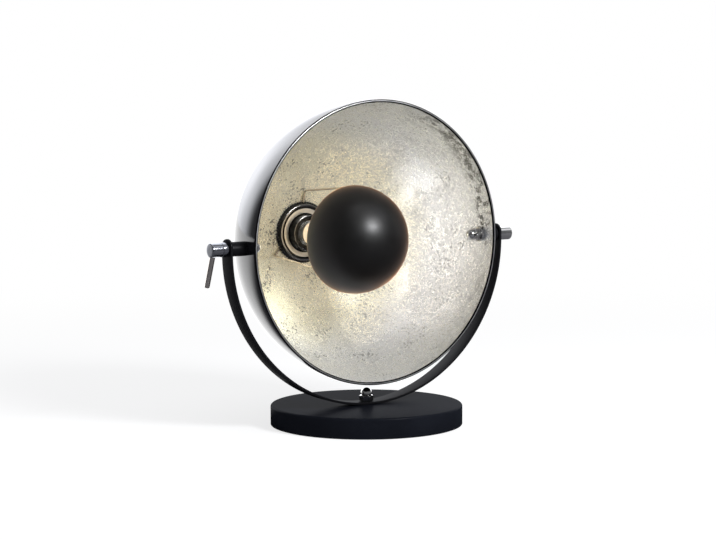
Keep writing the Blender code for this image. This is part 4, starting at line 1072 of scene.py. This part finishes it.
def rear_cap():
    """Hollow rear cap of the lampholder, with ribs to grip it by."""
    spigot = INSERT_RADIUS - GAP
    inside = spigot - REAR_WALL
    neck = NIPPLE_RADIUS + GAP
    nose = REAR_SHOULDER - REAR_WALL
    taper_start = REAR_TAPER - REAR_WALL
    corners = [(neck, REAR_BACK), (nose, REAR_BACK), (REAR_SHOULDER, REAR_BACK - HOLDER_EDGE)]
    corners += [(HOLDER_RADIUS - HOLDER_EDGE, REAR_TAPER), (HOLDER_RADIUS, taper_start)]
    corners += [(HOLDER_RADIUS, REAR_FRONT), (spigot, REAR_FRONT), (spigot, INSERT_BACK + GAP)]
    corners += [(inside, INSERT_BACK + GAP), (inside, taper_start), (nose, REAR_FLOOR), (neck, REAR_FLOOR)]
    outline = softened(corners, *REAR_EDGE)
    profile = []
    for first, second in zip(outline, outline[1:] + outline[:1]):
        profile.append(first)
        if abs(first[0] - HOLDER_RADIUS) < SAME and abs(second[0] - HOLDER_RADIUS) < SAME:
            profile += rows(HOLDER_RADIUS, first[1], second[1], GRIP_ROWS)[1:-1]

    def grip_ribs(radius, angle, along):
        gripped = REAR_FRONT + GRIP_INSET < along < REAR_TAPER - GRIP_INSET
        if abs(radius - HOLDER_RADIUS) > SAME or not gripped:
            return radius, along
        return radius - GRIP_DEPTH * max(math.cos(angle * GRIP_RIBS), 0.0), along

    turned("rear_cap", profile, REAR_STEPS, [PHENOLIC], "phenolic", "holder_rear_cap", reshape=grip_ribs)


def cord_gland():
    """Soft ribbed gland in the rear cap, with an open bore for a cord."""
    back = GLAND_FRONT + GLAND_LENGTH
    nose = REAR_FLOOR - REAR_WALL
    low, high = GLAND_FRONT + GLAND_EDGE, back - GLAND_EDGE
    outer = [(CORD_BORE, back), (GLAND_MOUTH, back), (GLAND_RADIUS - GLAND_EDGE, high)]
    for index, along in enumerate(evenly(high, low, GLAND_RIBS + 1)[1:-1]):
        radius = GLAND_RADIUS - GLAND_TAPER * (1 - index / GLAND_RIBS)
        outer += [(radius, along + GLAND_RIB[1]), (radius - GLAND_RIB[0], along)]
    outer += [(GLAND_RADIUS, low), (GLAND_RADIUS, GLAND_FRONT)]
    outer += [(NIPPLE_RADIUS, GLAND_FRONT), (NIPPLE_RADIUS, nose), (CORD_BORE, nose)]
    turned("gland", softened(outer, *SOFT_EDGE), SMALL_STEPS, [RUBBER], "soft_rubber", "cord_gland")


def ring_piece():
    """Knurled ring that clamps the wire frame, with a groove in its face; a metal line on its rim is a
    painted highlight, and a cream metal band on its face a painted warm reflection of the bulb.
    """
    radii = evenly(RING_BACK_RADIUS, RING_FRONT_RADIUS, RING_FLANK_STEPS)
    depths = evenly(RING_BACK, RING_FRONT + SMALL_EDGE, RING_FLANK_STEPS)
    profile = [(RING_BORE, RING_BACK), *zip(radii, depths)]
    bands = [0] * len(profile)
    for radius, depth, finish in RING_PROFILE:
        profile.append((radius, RING_FRONT + depth))
        bands.append(finish)

    def knurl(radius, angle, along):
        share = (along - RING_FRONT) / RING_DEPTH
        if radius < RING_FRONT_RADIUS - FINE_EDGE or not KNURL_BAND[0] < share < KNURL_BAND[1]:
            return radius, along
        return radius - KNURL_DEPTH * swing(KNURL_RIBS * angle) ** KNURL_BEND, along

    finishes = [PHENOLIC, EDGE_HIGHLIGHT_METAL, RING_REFLECTION_BAND]
    more = {"bands": bands, "reshape": knurl, "sharp": RING_SHARP}
    turned("knurled_ring", profile, RING_STEPS, finishes, "phenolic", "shade_ring", **more)


# Wire frame and glare cap

def frame_plate():
    """Toothed plate that the ring clamps and the wires are welded to, coated black as a painted shadow of
    the ring on the leaf.
    """
    def toothed(radius, angle, along):
        if radius < PLATE_RADIUS - PLATE_TOOTH:
            return radius, along
        return radius - PLATE_TOOTH * swing(PLATE_TEETH * angle), along

    corners = tube(SKIRT_RADIUS + GAP, PLATE_RADIUS, PLATE_FRONT, PLATE_FRONT + PLATE_DEPTH)
    profile = softened(corners, *SOFT_EDGE)
    steps = PLATE_TEETH * TOOTH_STEPS
    # Black coat on the steel plate: painted shade of the ring's shadow on the leaf
    turned("frame_plate", profile, steps, [YOKE_COAT], "steel_wire", "cap_frame", reshape=toothed)


def cap_wires():
    """Wires from the plate out to the bowl's wall and forward into the glare cap."""
    ellipse = math.sqrt(1.0 - (WIRE_CORNER_RADIUS / (DISH_RADIUS - DISH_WALL)) ** 2)
    corner_depth = (DISH_DEPTH - DISH_WALL) * ellipse - WIRE_CLEAR - WIRE_RADIUS
    grip = CAP_RADIUS - CAP_WALL - GAP - WIRE_RADIUS
    stations = [
        (PLATE_RADIUS - WIRE_START, DISH_FLOOR - GAP - WIRE_RADIUS),
        (WIRE_CORNER_RADIUS, corner_depth),
        (grip, CAP_CENTRE + CAP_SKIRT + WIRE_ENTRY),
        (grip, CAP_CENTRE),
    ]
    routes = []
    for degrees in WIRE_ANGLES:
        angle = math.radians(degrees)
        spots = [SHADE_AXIS @ Vector((r * math.cos(angle), -r * math.sin(angle), a)) for r, a in stations]
        routes.append(softened(spots, *WIRE_BEND, closed=False))
    dress(wire_tubes("cap_wires", routes, WIRE_RADIUS, [WIRE]), "shade", "steel_wire", "cap_frame")


def glare_ball():
    """Black half ball in front of the bulb, with a short skirt and a round rim, whose finish carries a
    painted warm sheen at the rim.
    """
    inner = CAP_RADIUS - CAP_WALL
    rear = CAP_CENTRE + CAP_SKIRT
    profile = [(0.0, CAP_CENTRE - CAP_RADIUS)]
    profile += arc(0.0, CAP_CENTRE, CAP_RADIUS, -POLE_ANGLE, 0.0, BALL_SEGMENTS)
    profile += [(CAP_RADIUS - inward, rear - ahead) for inward, ahead in CAP_RIM]
    profile += [(inner + inward, rear - ahead) for inward, ahead in CAP_RIM[-2::-1]]
    profile += arc(0.0, CAP_CENTRE, inner, 0.0, -POLE_ANGLE, BALL_SEGMENTS) + [(0.0, CAP_CENTRE - inner)]
    turned("glare_ball", profile, CAP_STEPS, [CAP_PAINT_WARM_SHEEN], "black_cap", "glare_cap")


# Bulb

def bulb_side(wall):
    """Outline of the glass from its tip to its neck, set inwards by a wall."""
    centre = BULB_END - BULB_LENGTH + BULB_RADIUS
    ball = arc(0.0, centre, BULB_RADIUS - wall, -POLE_ANGLE, BULB_BALL_END, BALL_SEGMENTS)
    low = Vector(ball[-1])
    high = Vector((BULB_NECK - wall, BULB_CAP_FRONT - BULB_NECK_REACH))
    reach = (high - low).length * BULB_PULL
    near = low + (low - Vector(ball[-2])).normalized() * reach
    far = high - Vector((0.0, reach))
    curve = [
        tuple(low * (1 - t) ** 3 + near * (3 * t * (1 - t) ** 2) + far * (3 * t * t * (1 - t)) + high * t**3)
        for t in evenly(0.0, 1.0, BULB_CURVE_STEPS)[1:]
    ]
    end_radius = BULB_CAP_RADIUS - BULB_CAP_WALL - GAP
    tail = [(BULB_NECK - wall, BULB_CAP_FRONT), (end_radius - wall, BULB_CAP_FRONT + BULB_NECK_REACH)]
    return [(0.0, centre - BULB_RADIUS + wall)] + ball + curve + tail


def bulb_pieces():
    """Opal glass of the bulb and its threaded cap."""
    outline = bulb_side(0.0) + bulb_side(BULB_WALL)[::-1]
    turned("bulb_glow", outline, SMALL_STEPS, [GLASS], "opal_glass", "bulb_glass")

    outline = [(BULB_CONE_RADIUS, BULB_INSULATOR)]
    outline += rows(BULB_CAP_RADIUS, BULB_CONE, BULB_CAP_FRONT, SKIRT_ROWS)
    outline += rows(BULB_CAP_RADIUS - BULB_CAP_WALL, BULB_CAP_FRONT, BULB_CONE, SKIRT_ROWS)
    outline += [(BULB_CONE_RADIUS - BULB_CAP_WALL, BULB_INSULATOR)]
    thread = threaded(*BULB_THREAD)
    turned("bulb_thread", outline, SMALL_STEPS, [ALUMINIUM], "aluminium", "bulb_cap", reshape=thread)


# CAD nodes that stay as they are, with finer materials

def finish_nodes():
    """Gives the CAD nodes that no piece replaces their own materials."""
    finishes = {
        "base_weight": CEMENT,
        "base_bolt": ZINC,
        "base_washer": ZINC,
        "pivot_stud_left": ZINC,
        "pivot_stud_right": ZINC,
        "holder_insert": PORCELAIN,
        "centre_contact": BRASS,
        "bulb_contact": PHENOLIC,
    }
    for name, material in finishes.items():
        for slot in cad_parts[name].material_slots:
            slot.link = "OBJECT"
            slot.material = material


# Studio

def floor_material():
    """Matt floor that keeps the lamp's shadow and runs out into white, with a glow for mirrors."""
    material = bpy.data.materials.new("pale_floor")
    tree = cleared_tree(material)
    place = tree.nodes.new("ShaderNodeTexCoord").outputs["Object"]
    matt = shader(tree, "ShaderNodeBsdfDiffuse", FLOOR_LIT)
    seen_matt = shader(tree, "ShaderNodeBsdfDiffuse", FLOOR_SEEN)
    lift = shader(tree, "ShaderNodeEmission", WHITE, FLOOR_LIFT)
    near = shader(tree, "ShaderNodeAddShader", seen_matt, lift)
    away = ramp(tree, of_vectors(tree, "LENGTH", "Value", place), *FLOOR_FADE)
    seen = shader(tree, "ShaderNodeMixShader", away, near, shader(tree, "ShaderNodeEmission", WHITE))
    heading = of_vectors(tree, "NORMALIZE", "Vector", place)
    past = ramp(tree, of_vectors(tree, "DOT_PRODUCT", "Value", heading, FLOOR_GLOW_WAY), *FLOOR_GLOW_FADE)
    dim = shader(tree, "ShaderNodeBsdfDiffuse", MIRRORED_FLOOR)
    mirrored = shader(tree, "ShaderNodeAddShader", dim, shader(tree, "ShaderNodeEmission", WHITE, past))
    fed(tree, "ShaderNodeOutputMaterial", by_ray(tree, matt, mirrored, seen))
    return material


def studio_floor():
    """Wide round floor under the lamp."""
    bm = bmesh.new()
    bmesh.ops.create_circle(bm, cap_ends=True, segments=FLOOR_STEPS, radius=FLOOR_RADIUS)
    mesh = bpy.data.meshes.new("studio_floor")
    bm.to_mesh(mesh)
    bm.free()
    mesh.materials.append(floor_material())
    floor = in_scene("studio_floor", mesh)
    floor.location.z = -FLOOR_DROP


def studio_world():
    """White to the camera; mirrors see a bright panel behind the lamp and dim on the camera's side."""
    world = bpy.data.worlds.new("studio")
    bpy.context.scene.world = world
    tree = cleared_tree(world)
    way = tree.nodes.new("ShaderNodeTexCoord").outputs["Generated"]
    parts = fed(tree, "ShaderNodeSeparateXYZ", way).outputs
    mirror = ramp(tree, parts["X"], *PANEL_LEFT)
    for axis, fade in (("X", PANEL_RIGHT), ("Y", PANEL_REAR), ("Z", PANEL_RISE)):
        mirror = combined(tree, "MULTIPLY", mirror, ramp(tree, parts[axis], *fade))
    for middle, fade in ((BACKDROP_WAY, BACKDROP_FADE), (UPPER_WAY, UPPER_FADE)):
        glow = ramp(tree, of_vectors(tree, "DOT_PRODUCT", "Value", way, middle), *fade)
        mirror = combined(tree, "ADD", mirror, glow)
    soft = shader(tree, "ShaderNodeBackground", MIRROR_TINT, WORLD_LIGHT)
    glossy = shader(tree, "ShaderNodeBackground", MIRROR_TINT, mirror)
    white = shader(tree, "ShaderNodeBackground", WHITE)
    fed(tree, "ShaderNodeOutputWorld", by_ray(tree, soft, glossy, white))


def outward(azimuth, elevation):
    """Direction from the lamp to a viewer or a light, with its azimuth counted from -Y."""
    level = math.cos(elevation)
    return Vector((math.sin(azimuth) * level, -math.cos(azimuth) * level, math.sin(elevation)))


def softbox(name, azimuth, elevation, distance, size, power, colour):
    """Rectangular area light that looks at the lamp from a direction."""
    away = outward(math.radians(azimuth), math.radians(elevation))
    data = bpy.data.lights.new(name, "AREA")
    data.shape = "RECTANGLE"
    data.size, data.size_y = size
    data.energy = power
    data.color = colour
    light = in_scene(name, data)
    light.location = LIGHT_AIM + away * distance
    light.rotation_mode = "QUATERNION"
    light.rotation_quaternion = (-away).to_track_quat("-Z", "Y")


def studio_camera():
    """Camera at the photograph's place, from the fitted azimuth, elevation and roll."""
    back = outward(VIEW_AZIMUTH, VIEW_ELEVATION)
    right = Vector((math.cos(VIEW_AZIMUTH), math.sin(VIEW_AZIMUTH), 0.0))
    turned = right * math.cos(VIEW_ROLL) + back.cross(right) * math.sin(VIEW_ROLL)
    place = right * VIEW_SIDE + Vector((0.0, 0.0, VIEW_HEIGHT)) + back * VIEW_DISTANCE
    data = bpy.data.cameras.new("view")
    data.sensor_width = SENSOR_WIDTH
    data.lens = FOCAL_PIXELS * SENSOR_WIDTH / IMAGE_WIDTH
    data.clip_start, data.clip_end = VIEW_CLIP
    camera = in_scene("view", data)
    camera.matrix_world = axis_frame(place, back, turned)
    bpy.context.scene.camera = camera


base_pieces()
acorn_nut("foot_nut", YOKE_TOP + GAP, UPRIGHT, "base", "yoke_nut")
yoke_pieces()
dish_piece()
pivot_pieces()
clamp_pieces()
holder_body()
screw_shell()
rear_cap()
cord_gland()
ring_piece()
frame_plate()
cap_wires()
glare_ball()
bulb_pieces()
finish_nodes()

studio_floor()
studio_world()
for light_name, light_values in SOFTBOXES.items():
    softbox(light_name, *light_values)
studio_camera()
bpy.context.scene.view_settings.view_transform = "Standard"
